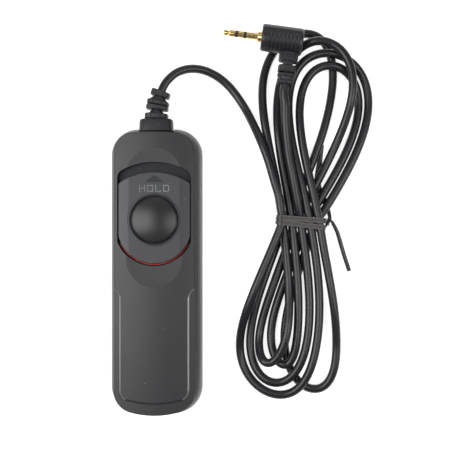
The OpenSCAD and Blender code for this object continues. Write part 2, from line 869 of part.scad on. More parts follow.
module full_press_leaf() color(brass) {
    leaf(full_z, tail_step);
    leaf_rivet(full_z);
}

module upper_spacer() color(moulding) {
    difference() {
        stack_block(half_z, common_z - leaf_t);
        stack_hole(screw_r + 0.1);
    }
}

module lower_spacer() color(moulding) {
    difference() {
        stack_block(full_z, half_z - leaf_t);
        stack_hole(screw_r + 0.1);
    }
}

module contact_cap() color(moulding) {
    difference() {
        stack_block(common_z, common_z + stack_cap_t);
        stack_hole(head_r - 0.3);
    }
}

module contact_screws() color(steel) {
    for (sx = [-1, 1]) translate([sx * stack_screw_x, stack_y, common_z + stack_cap_t])
        mirror([0, 0, 1]) screw(head_r - 0.4, stack_cap_t, screw_r, common_z - wall - 1);
}

// Conductors from the cord's inner end to the leaf tails
module conductor(x, top) {
    tail_y = stack_y + stack_l / 2 + tail_l - 1.4;
    side = x / tail_step;
    z = top + conductor_d / 2 + fit;
    tube([
        [side * 0.95, cord_inner_y - fit, cord_z], [side * 0.95, cord_inner_y - 1.2, cord_z],
        [x * 0.9, cord_inner_y - 2.4, z], [x, tail_y + 0.9, z], [x, tail_y, z], [x, tail_y - 0.9, z]
    ], conductor_d, 6, [0, -1, 0], [0, -1, 0]);
}

module common_wire() color("red") conductor(0, common_z);
module half_press_wire() color("white") conductor(-tail_step, half_z);
module full_press_wire() color("black") conductor(tail_step, full_z);

module cord_clamp() color(button_black) {
    difference() {
        translate([-clamp_x - post_r, clamp_y - clamp_l / 2, clamp_low])
            cube([2 * (clamp_x + post_r), clamp_l, clamp_t]);
        translate([0, clamp_y - clamp_l, cord_z]) rotate([-90, 0, 0])
            cylinder(r = cord_r + fit, h = 2 * clamp_l);
        for (sx = [-1, 1]) translate([sx * clamp_x, clamp_y, clamp_low - 1])
            cylinder(r = screw_r + 0.1, h = clamp_t + 2);
    }
}

module clamp_screws() color(steel) {
    for (sx = [-1, 1]) translate([sx * clamp_x, clamp_y, clamp_low + clamp_t + 1])
        mirror([0, 0, 1]) screw(head_r - 0.3, 1, screw_r, clamp_low + clamp_t - wall - 1);
}

// Strain relief: flange and neck in the covers, foot block, then a ribbed sleeve that bends
rib_starts = [-0.2, 0.1, 1.5];
rib_lengths = [2.8, 3.7, 2.3];
rib_sizes = [[8.8, 7.6], [8.2, 7], [7.2, 6.4]];
sleeve_core_r = 2.5;

module on_sleeve(k) {
    run = sleeve_joint(k + 1) - sleeve_joint(k);
    translate(sleeve_joint(k)) rotate(-atan2(run[0], run[1])) children();
}

module strain_relief() color(rubber_black) {
    difference() {
        union() {
            translate([0, flange_y, cord_z]) rounded_slot(flange_w, flange_h, flange_t);
            translate([0, flange_y + flange_t / 2, cord_z])
                rounded_slot(neck_w, neck_h, boot_y - flange_y);
            translate([0, boot_y, cord_z]) rounded_slot(boot_w, boot_h, boot_l - 1);
            translate([0, boot_y, cord_z]) rounded_slot(boot_w - 1, boot_h - 1, boot_l);
            tube(
                concat([[0, sleeve_y - 1, cord_z]], [for (k = [0:3]) sleeve_joint(k)]),
                2 * sleeve_core_r, 12
            );
            for (i = [0:2]) on_sleeve(i)
                translate([0, rib_starts[i], 0]) difference() {
                    rounded_slot(rib_sizes[i][0], rib_sizes[i][1], rib_lengths[i]);
                    for (sx = [-1, 1])
                        translate([sx * rib_sizes[i][0] / 2 - 0.9, rib_lengths[i] / 2 - 0.4, 0.9])
                            cube([1.8, 0.8, rib_sizes[i][1]]);
                }
        }
        tube(
            concat(
                [[0, flange_y - 1, cord_z]], [for (k = [0:3]) sleeve_joint(k)],
                [sleeve_joint(3) + (sleeve_joint(3) - sleeve_joint(2)) / 4]
            ),
            2 * cord_bore_r, 8
        );
    }
}

module cord_lead() color(rubber_black) {
    tube(concat(lead_route, [hank_route[0]]), cord_d, 8, [0, 1, 0], hank_route[1] - hank_route[0]);
}

module cord_hank() color(rubber_black) {
    tube(hank_route, cord_d, 6);
}

last_ring = len(hank_route) - 1;

// Plug frame: x along the pin towards the body's far end, y towards the pin's other side
function to_plug(p) = [
    plug_at[0] + p[0] * cos(plug_turn) + p[1] * sin(plug_turn),
    plug_at[1] - p[0] * sin(plug_turn) + p[1] * cos(plug_turn),
    plug_z + p[2]
];
relief_x = 3.2;
relief_tip = plug_d / 2 + plug_relief_l;

module cord_plug_end() color(rubber_black) {
    tip = to_plug([relief_x, -relief_tip, 0]);
    run = to_plug([relief_x, -relief_tip - cord_d, 0]);
    tube(
        concat([hank_route[last_ring]], plug_route, [run, tip]), cord_d, 8,
        hank_route[last_ring] - hank_route[last_ring - 1], tip - run
    );
}

module in_plug() {
    translate([plug_at[0], plug_at[1], plug_z]) rotate(-plug_turn) children();
}

relief_seat = 0.5;
relief_rib_starts = [0, 3.8, 9.1];
relief_rib_lengths = [3.1, 4.4, 2.6];
relief_rib_sizes = [[7.2, 6.6], [6.5, 6.2], [6, 5.8]];

module plug_relief() color(rubber_black) {
    in_plug() translate([relief_x, -plug_d / 2 + relief_seat, 0]) rotate(180) {
        rotate([-90, 0, 0]) cylinder(r = 2.3, h = plug_relief_l + relief_seat);
        for (i = [0:2]) translate([0, relief_rib_starts[i], 0]) difference() {
            rounded_slot(relief_rib_sizes[i][0], relief_rib_sizes[i][1], relief_rib_lengths[i]);
            for (sx = [-1, 1])
                translate([sx * relief_rib_sizes[i][0] / 2 - 0.7, relief_rib_lengths[i] / 2 - 0.3, 1])
                    cube([1.4, 0.6, 4]);
        }
    }
}

grip_grooves = 6;
grip_step = 1.45;
grip_w = 0.6;
grip_depth = 0.45;

module plug_body() color(rubber_black) {
    r = plug_d / 2;
    in_plug() difference() {
        translate([-plug_l / 2, 0, 0]) rotate([0, 90, 0]) rotate_extrude($fn = 64) polygon([
            [0, 0], [r - 0.5, 0], [r, 0.5], [r, plug_l - 1.6], [r - 0.25, plug_l - 1.3],
            [r - 0.25, plug_l - 0.5], [r - 0.8, plug_l], [0, plug_l]
        ]);
        translate([relief_x, -r + relief_seat, 0]) rotate([90, 0, 0])
            cylinder(r = relief_rib_sizes[0][0] / 2 + 0.3, h = 2);
        for (i = [0:grip_grooves - 1])
            translate([-3.6 + i * grip_step, -r + 1.1, r - 1.1 - grip_depth])
                rotate([-45, 0, 0]) translate([-grip_w / 2, -3, 0]) cube([grip_w, 6, 3]);
        translate([-plug_l / 2 - 1, 0, 0]) rotate([0, 90, 0]) cylinder(r = collar_r + fit, h = 2);
    }
}

// Pin: collar, sleeve, ring and tip, parted by two insulators
pin_r = pin_d / 2;
collar_r = 2;
collar_l = 1.5;
insulator_t = 0.9;
sleeve_pin_l = 4.1;
ring_pin_l = 2.2;
tip_cone_l = 1.6;
neck_r = 0.72;

module pin_part(from, l) {
    in_plug() translate([-plug_l / 2 - collar_l - from, 0, 0]) rotate([0, -90, 0])
        cylinder(r = pin_r, h = l);
}

module plug_collar() color(gold) {
    in_plug() translate([-plug_l / 2 + 1, 0, 0]) rotate([0, -90, 0]) rotate_extrude() polygon([
        [0, 0], [collar_r, 0], [collar_r, collar_l + 0.7], [collar_r - 0.3, collar_l + 1],
        [0, collar_l + 1]
    ]);
}

module plug_sleeve() color(gold) pin_part(0, sleeve_pin_l);
module rear_insulator() color(rubber_black) pin_part(sleeve_pin_l, insulator_t);
module plug_ring() color(gold) pin_part(sleeve_pin_l + insulator_t, ring_pin_l);
module front_insulator() color(rubber_black)
    pin_part(sleeve_pin_l + insulator_t + ring_pin_l, insulator_t);

module plug_tip() color(gold) {
    start = sleeve_pin_l + 2 * insulator_t + ring_pin_l;
    l = pin_l - start;
    in_plug() translate([-plug_l / 2 - collar_l - start, 0, 0]) rotate([0, -90, 0])
        rotate_extrude() polygon([
            [0, 0], [pin_r, 0], [pin_r, l - 2.5], [neck_r, l - 1.8],
            [pin_r - 0.1, l - 1], [pin_r - 0.35, l - 0.4], [0.35, l], [0, l]
        ]);
}

// Twist tie: two turns round the waist, a twisted knot and two tails
band_gap = 0.2;
band_step = 2.1;
sway = 0.6;
tail_w = 1.3;
broad_w = 2.6;
narrow_w = 1.6;

module waist_section(grow) {
    hull() {
        for (p = [
            [front_slot(0) - sway, over_z], [front_slot(0) - sway, front_z],
            [front_slot(4) + sway, front_z],
            [back_slot(0) - sway, back_z], [back_slot(3) + 2 * sway, back_z]
        ]) translate(p) circle(r = cord_r + grow, $fn = 24);
    }
}

module band(v) {
    translate([waist_at[0], waist_at[1], 0]) rotate(-hank_lean) translate([0, v + tie_w / 2, 0])
        rotate([90, 0, 0]) linear_extrude(tie_w) difference() {
            waist_section(band_gap + tie_t);
            waist_section(band_gap);
        }
}

module ribbon(path, w) {
    for (i = [0:len(path) - 2]) hull() for (p = [path[i], path[i + 1]])
        translate(to_hank(p)) rotate(-hank_lean) cube([w, w, tie_t], center = true);
}

module twist_tie() color([0.2, 0.18, 0.17]) {
    knot_x = front_slot(4) + sway + cord_r + band_gap + tie_t;
    low = tie_t / 2 + 0.02;
    band(-band_step / 2);
    band(band_step / 2);
    ribbon([
        [knot_x - 0.4, band_step / 2, 3.6], [knot_x + 1, 2.5, 3.8], [13, -0.3, 2.6],
        [16.5, -7.2, low], [20.8, -17.1, low]
    ], tail_w);
    ribbon([
        [knot_x - 0.4, -band_step / 2, 3.4], [knot_x + 1.6, 1.6, 2.2], [knot_x + 1.4, 4.4, low],
        [7.6, 10, low]
    ], tail_w);
    ribbon([[7.6, 10, low], [5.5, 14.3, low]], broad_w);
    ribbon([[5.5, 14.3, low], [5.8, 30.2, low]], narrow_w);
}

echo(hank_least_gap = least_gap(hank_route, 3));
echo(hank_length = length_of(hank_route));
echo(lead_length = length_of(concat(visible_lead, [hank_route[0]])));
echo(plug_end_length = length_of(concat([hank_route[last_ring]], plug_route,
    [to_plug([relief_x, -relief_tip, 0])])));

top_cover();
bottom_cover();
case_screws();
hold_slider();
slider_keeper();
keeper_screws();
red_indicator();
shutter_button();
button_clip();
button_spring();
contact_base();
full_press_leaf();
lower_spacer();
half_press_leaf();
upper_spacer();
common_leaf();
contact_cap();
contact_screws();
common_wire();
half_press_wire();
full_press_wire();
cord_clamp();
clamp_screws();
strain_relief();
cord_lead();
cord_hank();
cord_plug_end();
plug_relief();
plug_body();
plug_collar();
plug_sleeve();
rear_insulator();
plug_ring();
front_insulator();
plug_tip();
twist_tie();
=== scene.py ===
"""Wired shutter release on a pale table: handset, tied cord and right-angled plug.

Every piece is made in millimetres in the handset's own frame (origin under the middle of the
handset, +Y to the cord, +Z out of the button) and stored in metres.
"""
from math import acos, asin, atan2, copysign, cos, degrees, hypot, pi, radians, sin, sqrt

import bmesh
import bpy
from mathutils import Matrix, Vector


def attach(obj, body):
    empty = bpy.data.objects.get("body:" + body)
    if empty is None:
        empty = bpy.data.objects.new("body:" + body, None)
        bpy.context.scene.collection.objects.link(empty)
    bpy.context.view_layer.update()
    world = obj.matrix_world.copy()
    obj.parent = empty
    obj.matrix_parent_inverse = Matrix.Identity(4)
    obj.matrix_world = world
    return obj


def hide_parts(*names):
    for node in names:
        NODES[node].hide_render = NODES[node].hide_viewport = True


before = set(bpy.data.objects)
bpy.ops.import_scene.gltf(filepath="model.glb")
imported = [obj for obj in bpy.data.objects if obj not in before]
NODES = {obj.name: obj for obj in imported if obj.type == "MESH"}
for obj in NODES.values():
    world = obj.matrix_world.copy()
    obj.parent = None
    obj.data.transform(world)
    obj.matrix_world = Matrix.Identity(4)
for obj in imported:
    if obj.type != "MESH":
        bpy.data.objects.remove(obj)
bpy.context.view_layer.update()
MM = 0.001

# ---- sizes, in millimetres
BODY_W, BODY_L, BODY_H = 34.4, 108.0, 17.0
JOINT_Z, WALL, LEDGE, LEAN_IN = 8.0, 1.6, 1.8, 0.7
DISH_W, DISH_DEPTH, DISH_HIGH_Y, DISH_LOW_Y = 20.2, 0.7, 45.5, -5.0
SLIDE_W, SLIDE_LOW_Y, SLIDE_HIGH_Y = 25.9, 3.6, 36.8
SLIDE_LOW_R, SLIDE_HIGH_R, SLIDE_CORNER_R = 13.4, 23.0, 1.6
SLIDE_GAP, HOLD_TRAVEL = 0.3, 3.5
RECESS_FLOOR, FLOOR_LOW, SLIDE_LOW, SLIDE_TOP = 14.4, 12.9, 15.0, 16.9
BUTTON_R, BUTTON_Y, BUTTON_TOP, DOME_R = 8.3, 19.5, 18.1, 24.0
BORE_R, CUP_R, STEM_R = 8.6, 9.8, 2.5
CORD_R, CORD_SKIN_R, CORD_Z = 1.45, 1.62, 7.0
PLUG_AT, PLUG_Z, PLUG_TURN = (46.6, 85.8), 11.4, radians(7.5)
PLUG_R, PLUG_L = 5.0, 15.3
RELIEF_X, RELIEF_L = 3.2, 11.2
AXIS_R = 0.0001  # a radius of nothing, in turned profiles


# ---- camera, in metres
CAMERA_AT, LENS, SENSOR_W = (0.02745, 0.0158, 0.320), 65.6, 36


def add_object(name, data):
    made = bpy.data.objects.new(name, data)
    bpy.context.scene.collection.objects.link(made)
    return made


def make_camera():
    """Looks straight down on the handset and its cord."""
    data = bpy.data.cameras.new("camera")
    data.sensor_width, data.lens = SENSOR_W, LENS
    data.clip_start, data.clip_end = 0.01, 5
    camera = add_object("camera", data)
    camera.location = CAMERA_AT
    bpy.context.scene.camera = camera


make_camera()


# ---- shader groups
NODE_STEP = 220  # the nodes lie in one row


def feed(tree, slot, value):
    """Links an output to a socket, or gives the socket a plain value."""
    if isinstance(value, bpy.types.NodeSocket):
        tree.links.new(value, slot)
    else:
        slot.default_value = value


def node(tree, kind, **values):
    """A new node; each value is a setting of its own or goes to the socket of that name."""
    made = tree.nodes.new(kind if kind.startswith("NodeGroup") else "ShaderNode" + kind)
    made.location = (NODE_STEP * len(tree.nodes), 0)
    for name, value in values.items():
        if hasattr(made, name):
            setattr(made, name, value)
        else:
            feed(tree, made.inputs[name.replace("_", " ")], value)
    return made


def fed(tree, kind, *values, **settings):
    """First output of a new node whose sockets take the values in their order."""
    made = node(tree, kind, **settings)
    for slot, value in zip(made.inputs, values):
        feed(tree, slot, value)
    return made.outputs[0]


def maths(tree, operation, *values):
    return fed(tree, "Math", *values, operation=operation)


def new_group(name, outputs, **inputs):
    """A node group that takes a vector and numbers, and the outputs of its input node."""
    group = bpy.data.node_groups.new(name, "ShaderNodeTree")
    sockets = group.interface
    sockets.new_socket(name="Vector", in_out="INPUT", socket_type="NodeSocketVector")
    for title, value in inputs.items():
        made = sockets.new_socket(name=title.replace("_", " "), in_out="INPUT",
                                  socket_type="NodeSocketFloat")
        made.default_value = value
    for title in outputs:
        sockets.new_socket(name=title, in_out="OUTPUT", socket_type="NodeSocketFloat")
    return group, node(group, "NodeGroupInput").outputs


def make_grain_group():
    """Fine moulded grain: a height, a roughness and a faint change of tone."""
    group, given = new_group(
        "Moulded grain", ("Height", "Roughness", "Tone"),
        Grain_size=0.00022, Roughness=0.45, Roughness_change=0.08, Tone_change=0.06)
    scale = maths(group, "DIVIDE", 1.0, given["Grain size"])
    fine = node(group, "TexNoise", Vector=given["Vector"], Scale=scale,
                Detail=3.0, Roughness=0.55)
    cloud = node(group, "TexNoise", Vector=given["Vector"], Scale=140.0, Detail=4.0)
    centred = maths(group, "SUBTRACT", cloud.outputs["Fac"], 0.5)
    rough = maths(group, "MULTIPLY_ADD", centred, given["Roughness change"], given["Roughness"])
    tone = maths(group, "MULTIPLY_ADD", centred, given["Tone change"], 1.0)
    node(group, "NodeGroupOutput", Height=fine.outputs["Fac"], Roughness=rough, Tone=tone)
    return group


def make_dust_group():
    """A few pale specks of dust and lint."""
    group, given = new_group("Dust specks", ("Dust",), Density=0.03)
    cells = node(group, "TexVoronoi", Vector=given["Vector"], Scale=900.0)
    dot = maths(group, "LESS_THAN", cells.outputs["Distance"], 0.16)
    chance = fed(group, "SeparateColor", cells.outputs["Color"])
    few = maths(group, "LESS_THAN", chance, given["Density"])
    both = maths(group, "MULTIPLY", dot, few)
    node(group, "NodeGroupOutput", Dust=both)
    return group


def make_barrel_group():
    """Height of a face that is barrelled across its width, in metres."""
    group, given = new_group("Barrelled face", ("Height",), Rise=6.0)
    across = fed(group, "SeparateXYZ", given["Vector"])
    square = maths(group, "MULTIPLY", across, across)
    fall = maths(group, "MULTIPLY", square, given["Rise"])
    down = maths(group, "MULTIPLY", fall, -1.0)
    node(group, "NodeGroupOutput", Height=down)
    return group


GRAIN = make_grain_group()
DUST = make_dust_group()
BARREL = make_barrel_group()


# ---- materials
BUMP_DEPTH, DUST_LIFT, COAT_ROUGHNESS = 0.0001, 0.12, 0.25


def new_material(name):
    made = bpy.data.materials.new(name)
    made.use_nodes = True
    made.node_tree.nodes.clear()
    return made, made.node_tree


def plastic(name, colour, roughness, grain=0.00022, bump=0.05, coat=0.0, specular=0.5,
            dust=0.02, crown=0.0):
    """Moulded plastic or rubber with grain and dust; crown bows the face across its width."""
    made, tree = new_material(name)
    where = node(tree, "TexCoord").outputs["Object"]
    grained = node(tree, "Group", node_tree=GRAIN, Vector=where,
                   Grain_size=grain, Roughness=roughness)
    dusty = node(tree, "Group", node_tree=DUST, Vector=where, Density=dust)
    plain = node(tree, "Mix", data_type="RGBA", blend_type="MULTIPLY",
                 Factor=1.0, A=(*colour, 1), B=grained.outputs["Tone"])
    specks = node(tree, "Mix", data_type="RGBA",
                  Factor=dusty.outputs["Dust"], A=plain.outputs["Result"],
                  B=(*[min(1, c + DUST_LIFT) for c in colour], 1))
    raised = node(tree, "Bump", Strength=bump, Distance=BUMP_DEPTH,
                  Height=grained.outputs["Height"])
    if crown:
        barrel = node(tree, "Group", node_tree=BARREL, Vector=where, Rise=crown)
        bowed = node(tree, "Bump", Strength=1.0, Distance=1.0, Height=barrel.outputs["Height"])
        feed(tree, raised.inputs["Normal"], bowed.outputs["Normal"])
    shader = node(tree, "BsdfPrincipled", Specular_IOR_Level=specular,
                  Coat_Weight=coat, Coat_Roughness=COAT_ROUGHNESS,
                  Base_Color=specks.outputs["Result"], Roughness=grained.outputs["Roughness"],
                  Normal=raised.outputs["Normal"])
    node(tree, "OutputMaterial", Surface=shader.outputs[0])
    return made


def brushed_metal(name, colour, roughness, fineness=(1, 1, 14), bump=0.06):
    """Metal with fine drawn lines; fineness says how closely they lie on each axis."""
    made, tree = new_material(name)
    where = node(tree, "TexCoord")
    scaled = node(tree, "Mapping", Scale=fineness, Vector=where.outputs["Object"])
    lines = node(tree, "TexNoise", Vector=scaled.outputs[0], Scale=900.0,
                 Detail=2.0).outputs["Fac"]
    rough = node(tree, "MapRange", Value=lines, To_Min=roughness - 0.06, To_Max=roughness + 0.1)
    tone = node(tree, "Mix", data_type="RGBA", Factor=lines,
                A=(*[c * 0.86 for c in colour], 1), B=(*colour, 1))
    raised = node(tree, "Bump", Strength=bump, Distance=BUMP_DEPTH, Height=lines)
    shader = node(tree, "BsdfPrincipled", Metallic=1.0,
                  Base_Color=tone.outputs["Result"], Roughness=rough.outputs[0],
                  Normal=raised.outputs["Normal"])
    node(tree, "OutputMaterial", Surface=shader.outputs[0])
    return made


shell_plastic = plastic("shell plastic", (0.028, 0.027, 0.03), 0.4, bump=0.12, crown=5.0)
# the upper cover's side wall is painted darker than the shell: painted shade
side_shade_plastic = plastic("matt side painted shade", (0.02, 0.02, 0.022), 0.6, bump=0.1, specular=0.08)
# the lower cover is painted lighter than the upper one: painted light from the pale table
lit_base_plastic = plastic("base plastic painted light", (0.078, 0.078, 0.082), 0.36, bump=0.12, specular=0.8)
# the upward faces of the lower cover's ledge are painted lighter: painted light
lit_ledge_plastic = plastic("ledge painted light", (0.16, 0.16, 0.165), 0.4, bump=0.1, specular=0.8)
# the walls and floor of the recess are painted near black: painted shade
recess_shade_plastic = plastic("recess painted shade", (0.009, 0.01, 0.013), 0.5, bump=0.1, specular=0.35)
# the panel's sloping edges are painted pale: painted highlight
highlight_edge_plastic = plastic("edge painted highlight", (0.15, 0.15, 0.155), 0.26, bump=0.02, specular=1.0)
slide_plastic = plastic("slide plastic", (0.042, 0.043, 0.048), 0.38, bump=0.12, crown=6.0)
# the raised HOLD letters are painted paler than the slide: painted highlight
legend_highlight_plastic = plastic("legend painted highlight", (0.17, 0.175, 0.185), 0.34)
arrow_plastic = plastic("arrow plastic", (0.014, 0.016, 0.022), 0.5)
button_plastic = plastic("button plastic", (0.02, 0.02, 0.022), 0.33, bump=0.06, dust=0.01)
inner_plastic = plastic("inner plastic", (0.035, 0.035, 0.037), 0.5, bump=0.1)
natural_plastic = plastic("natural moulding", (0.62, 0.58, 0.47), 0.5, bump=0.08)
signal_red = plastic("signal red", (0.42, 0.008, 0.006), 0.28, bump=0.02, dust=0)
cord_skin = plastic("cord skin", (0.016, 0.016, 0.019), 0.31, grain=0.0004, bump=0.06)
boot_rubber = plastic("boot rubber", (0.02, 0.02, 0.023), 0.44, grain=0.0003, bump=0.16)
plug_rubber = plastic("plug rubber", (0.019, 0.019, 0.023), 0.38, grain=0.0003, bump=0.2)
insulator_black = plastic("insulator", (0.012, 0.012, 0.012), 0.3, bump=0.02, dust=0)
tie_film = plastic("tie film", (0.032, 0.026, 0.023), 0.4, grain=0.0005, bump=0.2, coat=0.2)
wire_red = plastic("red core", (0.45, 0.015, 0.012), 0.4, bump=0.03, dust=0)
wire_white = plastic("white core", (0.6, 0.6, 0.57), 0.4, bump=0.03, dust=0)
wire_black = plastic("black core", (0.015, 0.015, 0.015), 0.4, bump=0.03, dust=0)
contact_gold = brushed_metal("gold plating", (0.83, 0.62, 0.27), 0.2)
leaf_brass = brushed_metal("leaf brass", (0.72, 0.52, 0.22), 0.3)
screw_steel = brushed_metal("zinc plated steel", (0.6, 0.6, 0.62), 0.32, (1, 1, 1))
spring_steel = brushed_metal("spring steel", (0.5, 0.5, 0.52), 0.25, (1, 1, 1))


# ---- mesh tools
SAME_POINT = 1e-7  # metres


def refine(mesh, mend, limit, soft_limit):
    """Welds, mends and shades a mesh; edges over the limit in degrees are crisp.

    Beside flat level faces the softer limit counts.
    """
    work = bmesh.new()
    work.from_mesh(mesh)
    bmesh.ops.remove_doubles(work, verts=work.verts, dist=SAME_POINT)
    mend(work)
    for face in work.faces:
        face.smooth = True
    for edge in work.edges:
        if len(edge.link_faces) == 2:
            flat = any(abs(face.normal.z) > 0.99999 for face in edge.link_faces)
            edge.smooth = degrees(edge.calc_face_angle(0)) < (soft_limit if flat else limit)
    work.to_mesh(mesh)
    work.free()


def new_piece(name, verts, faces, material, sharp=180):
    """A mesh piece from points in millimetres, smooth but for edges over sharp degrees."""
    mesh = bpy.data.meshes.new(name)
    mesh.from_pydata([Vector(v) * MM for v in verts], [], faces)
    mesh.materials.append(material)
    mesh.validate()
    refine(mesh, lambda work: bmesh.ops.recalc_face_normals(work, faces=work.faces), sharp, sharp)
    return add_object(name, mesh)


def mark_sharp(piece, limit=30, soft_limit=5):
    """Mends and shades a piece after its cuts."""
    refine(piece.data, lambda work: bmesh.ops.dissolve_degenerate(
        work, edges=work.edges, dist=SAME_POINT), limit, soft_limit)


def skin(rings, closed=False):
    """Points and side faces over rings of equal count; closed joins the last to the first."""
    count = len(rings[0])
    faces = []
    for i in range(len(rings) if closed else len(rings) - 1):
        a, b = i * count, (i + 1) % len(rings) * count
        for k in range(count):
            n = (k + 1) % count
            faces.append((a + k, a + n, b + n, b + k))
    return [p for ring in rings for p in ring], faces


def loft(name, rings, material, closed=False, sharp=30.0):
    """Skin over rings of equal count, with flat ends if it isn't closed."""
    verts, faces = skin(rings, closed)
    if not closed:
        count = len(rings[0])
        faces.append(tuple(range(count)))
        faces.append(tuple(range(len(verts) - 1, len(verts) - 1 - count, -1)))
    return new_piece(name, verts, faces, material, sharp)


def solid(name, outline_at, material=None, sharp=30.0):
    """Body over outlines, each with its height; a cutting tool needs no material."""
    rings = [at(points, z) for points, z in outline_at]
    return loft(name, rings, material or shell_plastic, sharp=sharp)


def prism(name, outline, low, high):
    return solid(name, [(outline, low), (outline, high)])


def cut(piece, tool, operation="DIFFERENCE"):
    """Cuts a tool out of a piece, or joins it on, and throws the tool away."""
    change = piece.modifiers.new("cut", "BOOLEAN")
    change.operation = operation
    change.solver = "EXACT"
    change.object = tool
    bpy.context.view_layer.update()
    evaluated = piece.evaluated_get(bpy.context.evaluated_depsgraph_get())
    mesh = bpy.data.meshes.new_from_object(evaluated)
    piece.modifiers.clear()
    old = piece.data
    piece.data = mesh
    bpy.data.meshes.remove(old)
    drop(tool)


def drop(piece):
    mesh = piece.data
    bpy.data.objects.remove(piece)
    bpy.data.meshes.remove(mesh)


def merge(name, pieces):
    """Joins pieces of one material into one mesh."""
    work = bmesh.new()
    for piece in pieces:
        work.from_mesh(piece.data)
    mesh = bpy.data.meshes.new(name)
    mesh.materials.append(pieces[0].data.materials[0])
    work.to_mesh(mesh)
    work.free()
    for piece in pieces:
        drop(piece)
    return add_object(name, mesh)


def paint(piece, material, chosen):
    """Gives the faces that are chosen by their place and normal another material."""
    piece.data.materials.append(material)
    index = len(piece.data.materials) - 1
    for face in piece.data.polygons:
        if chosen(face.center / MM, face.normal):
            face.material_index = index


def arc(centre, radius, start, end, count):
    """Points of an arc between two angles in degrees."""
    made = []
    for i in range(count + 1):
        a = radians(start + (end - start) * i / count)
        made.append((centre[0] + radius * cos(a), centre[1] + radius * sin(a)))
    return made


def circle(centre, radius, count, shift=0.0):
    """Points round a circle, moved on by a part of a step."""
    angles = [2 * pi * (k + shift) / count for k in range(count)]
    return [(centre[0] + radius * cos(a), centre[1] + radius * sin(a)) for a in angles]


def between(start, end, steps):
    """Points that part a straight run into equal steps, without its ends."""
    return [tuple(a + (b - a) * k / steps for a, b in zip(start, end))
            for k in range(1, steps)]


def box(x0, y0, x1, y1):
    return [(x0, y0), (x1, y0), (x1, y1), (x0, y1)]


def at(points, z):
    return [(x, y, z) for x, y in points]


def offset(points, amount):
    """Moves a closed outline along its own normals; a positive amount grows it."""
    moved = []
    for i, (x, y) in enumerate(points):
        px, py = points[i - 1]
        nx, ny = points[(i + 1) % len(points)]
        tx, ty = nx - px, ny - py
        size = hypot(tx, ty) or 1
        moved.append((x + amount * ty / size, y - amount * tx / size))
    return moved


def spline(points, steps):
    """Points of a smooth line through the given points."""
    made = []
    vectors = [Vector(p) for p in points]
    last = len(vectors) - 1
    for i in range(last):
        a, b = vectors[max(i - 1, 0)], vectors[i]
        c, d = vectors[i + 1], vectors[min(i + 2, last)]
        for k in range(steps):
            t = k / steps
            made.append(0.5 * (2 * b + (c - a) * t + (2 * a - 5 * b + 4 * c - d) * t * t
                               + (3 * b - a - 3 * c + d) * t ** 3))
    made.append(vectors[-1])
    return made


def revolve(name, profile, material, centre=(0, 0), turns=96, sharp=30.0):
    """Turns a closed profile of (radius, height) round a vertical axis."""
    rings = [at(circle(centre, radius, turns), height) for radius, height in profile]
    return loft(name, rings, material, sharp=sharp)


# ---- cord
WAIST, LEAN = (54.0, 18.8), radians(5.4)
FRONT_STEP, BACK_STEP, LAYER_STEP, WAIST_LIFT = 3.5, 3.85, 3.45, 1.0
LOOP_RINGS = 24
BACK_Z = CORD_R + WAIST_LIFT
FRONT_Z = BACK_Z + LAYER_STEP
OVER_Z = FRONT_Z + LAYER_STEP
# places across the waist of the turns in front and behind, and the order they are laid in
FRONT_SLOTS = [(i - 2) * FRONT_STEP for i in range(5)]
BACK_SLOTS = [(i - 1.5) * BACK_STEP for i in range(4)]
FRONT_ORDER, BACK_ORDER = (3, 4, 1, 0, 2), (3, 2, 1, 0)
# one loop: x a quarter, three quarters and half of the way round, reach along the hank,
# and its layer over the table at the three middle marks
LOW_LOOPS = (
    (-18.4, 10, -2.5, 65.6, 0, 0.7, 1.3),
    (-1.6, 18, 11, 62.6, 0, 0, 0.4),
    (-6.9, 2.6, -1.2, 54, 0, 1, 1.3),
    (-10.8, -1.4, -7.5, 53.6, 0, 1.6, 2.2),
    (-14.7, 6.5, -4, 61.2, 0, 0.7, 1.3),
)
HIGH_LOOPS = (
    (-8.8, 21.8, 5.2, 64.2, 1, 1, 0),
    (-4.4, 18, 6.2, 59.6, 1, 1, 0),
    (-12.6, 14.2, 1.2, 67.8, 0, 1.9, 2.2),
    (-18.9, 7.4, -3.8, 71.5, 0, 0, 0),
)
LOW_DRAW, HIGH_DRAW = (0.92, 0.95), (0.84, 1.08)
LAYER_MARKS = (0, 22, 50, 90, 130, 158, 180)  # degrees round a loop
SLEEVE_Y, SLEEVE_STEP, SLEEVE_BEND = 57.1, 11.6 / 3, 0.017
STRAIGHT_RUN, END_CLIMB = (-0.88, 3.0), 0.6


def eased(values, angle):
    """Value at an angle round the loop, with soft steps from mark to mark."""
    for i in range(1, len(LAYER_MARKS)):
        if angle <= LAYER_MARKS[i]:
            t = (angle - LAYER_MARKS[i - 1]) / (LAYER_MARKS[i] - LAYER_MARKS[i - 1])
            return values[i - 1] + (values[i] - values[i - 1]) * t * t * (3 - 2 * t)
    return values[-1]


def loop_points(side, start, end, shape, draw, last):
    """One loop from the tie and back, in the hank's own plane."""
    mid, tilt = (start[0] + end[0]) / 2, (start[0] - end[0]) / 2
    crown = shape[2] - mid
    first = shape[0] - mid - tilt * cos(pi / 4) - crown / 2
    second = shape[1] - mid + tilt * cos(pi / 4) - crown / 2
    spread, drift = (second - first) / 2, (second + first) / 2
    heights = (start[1], start[1], *(CORD_R + n * LAYER_STEP for n in shape[4:7]), end[1], end[1])
    made = []
    for k in range(LOOP_RINGS + (1 if last else 0)):
        turned = 180 * k / LOOP_RINGS
        a = radians(turned)
        pull = draw[0] + (draw[1] - draw[0]) * (1 - cos(a)) / 2
        made.append((
            mid + tilt * cos(a) + crown * sin(a) ** 2
            + drift * sin(2 * a) ** 2 - spread * sin(2 * a),
            side * shape[3] * max(0.0, sin(a)) ** pull,
            eased(heights, turned),
        ))
    return made


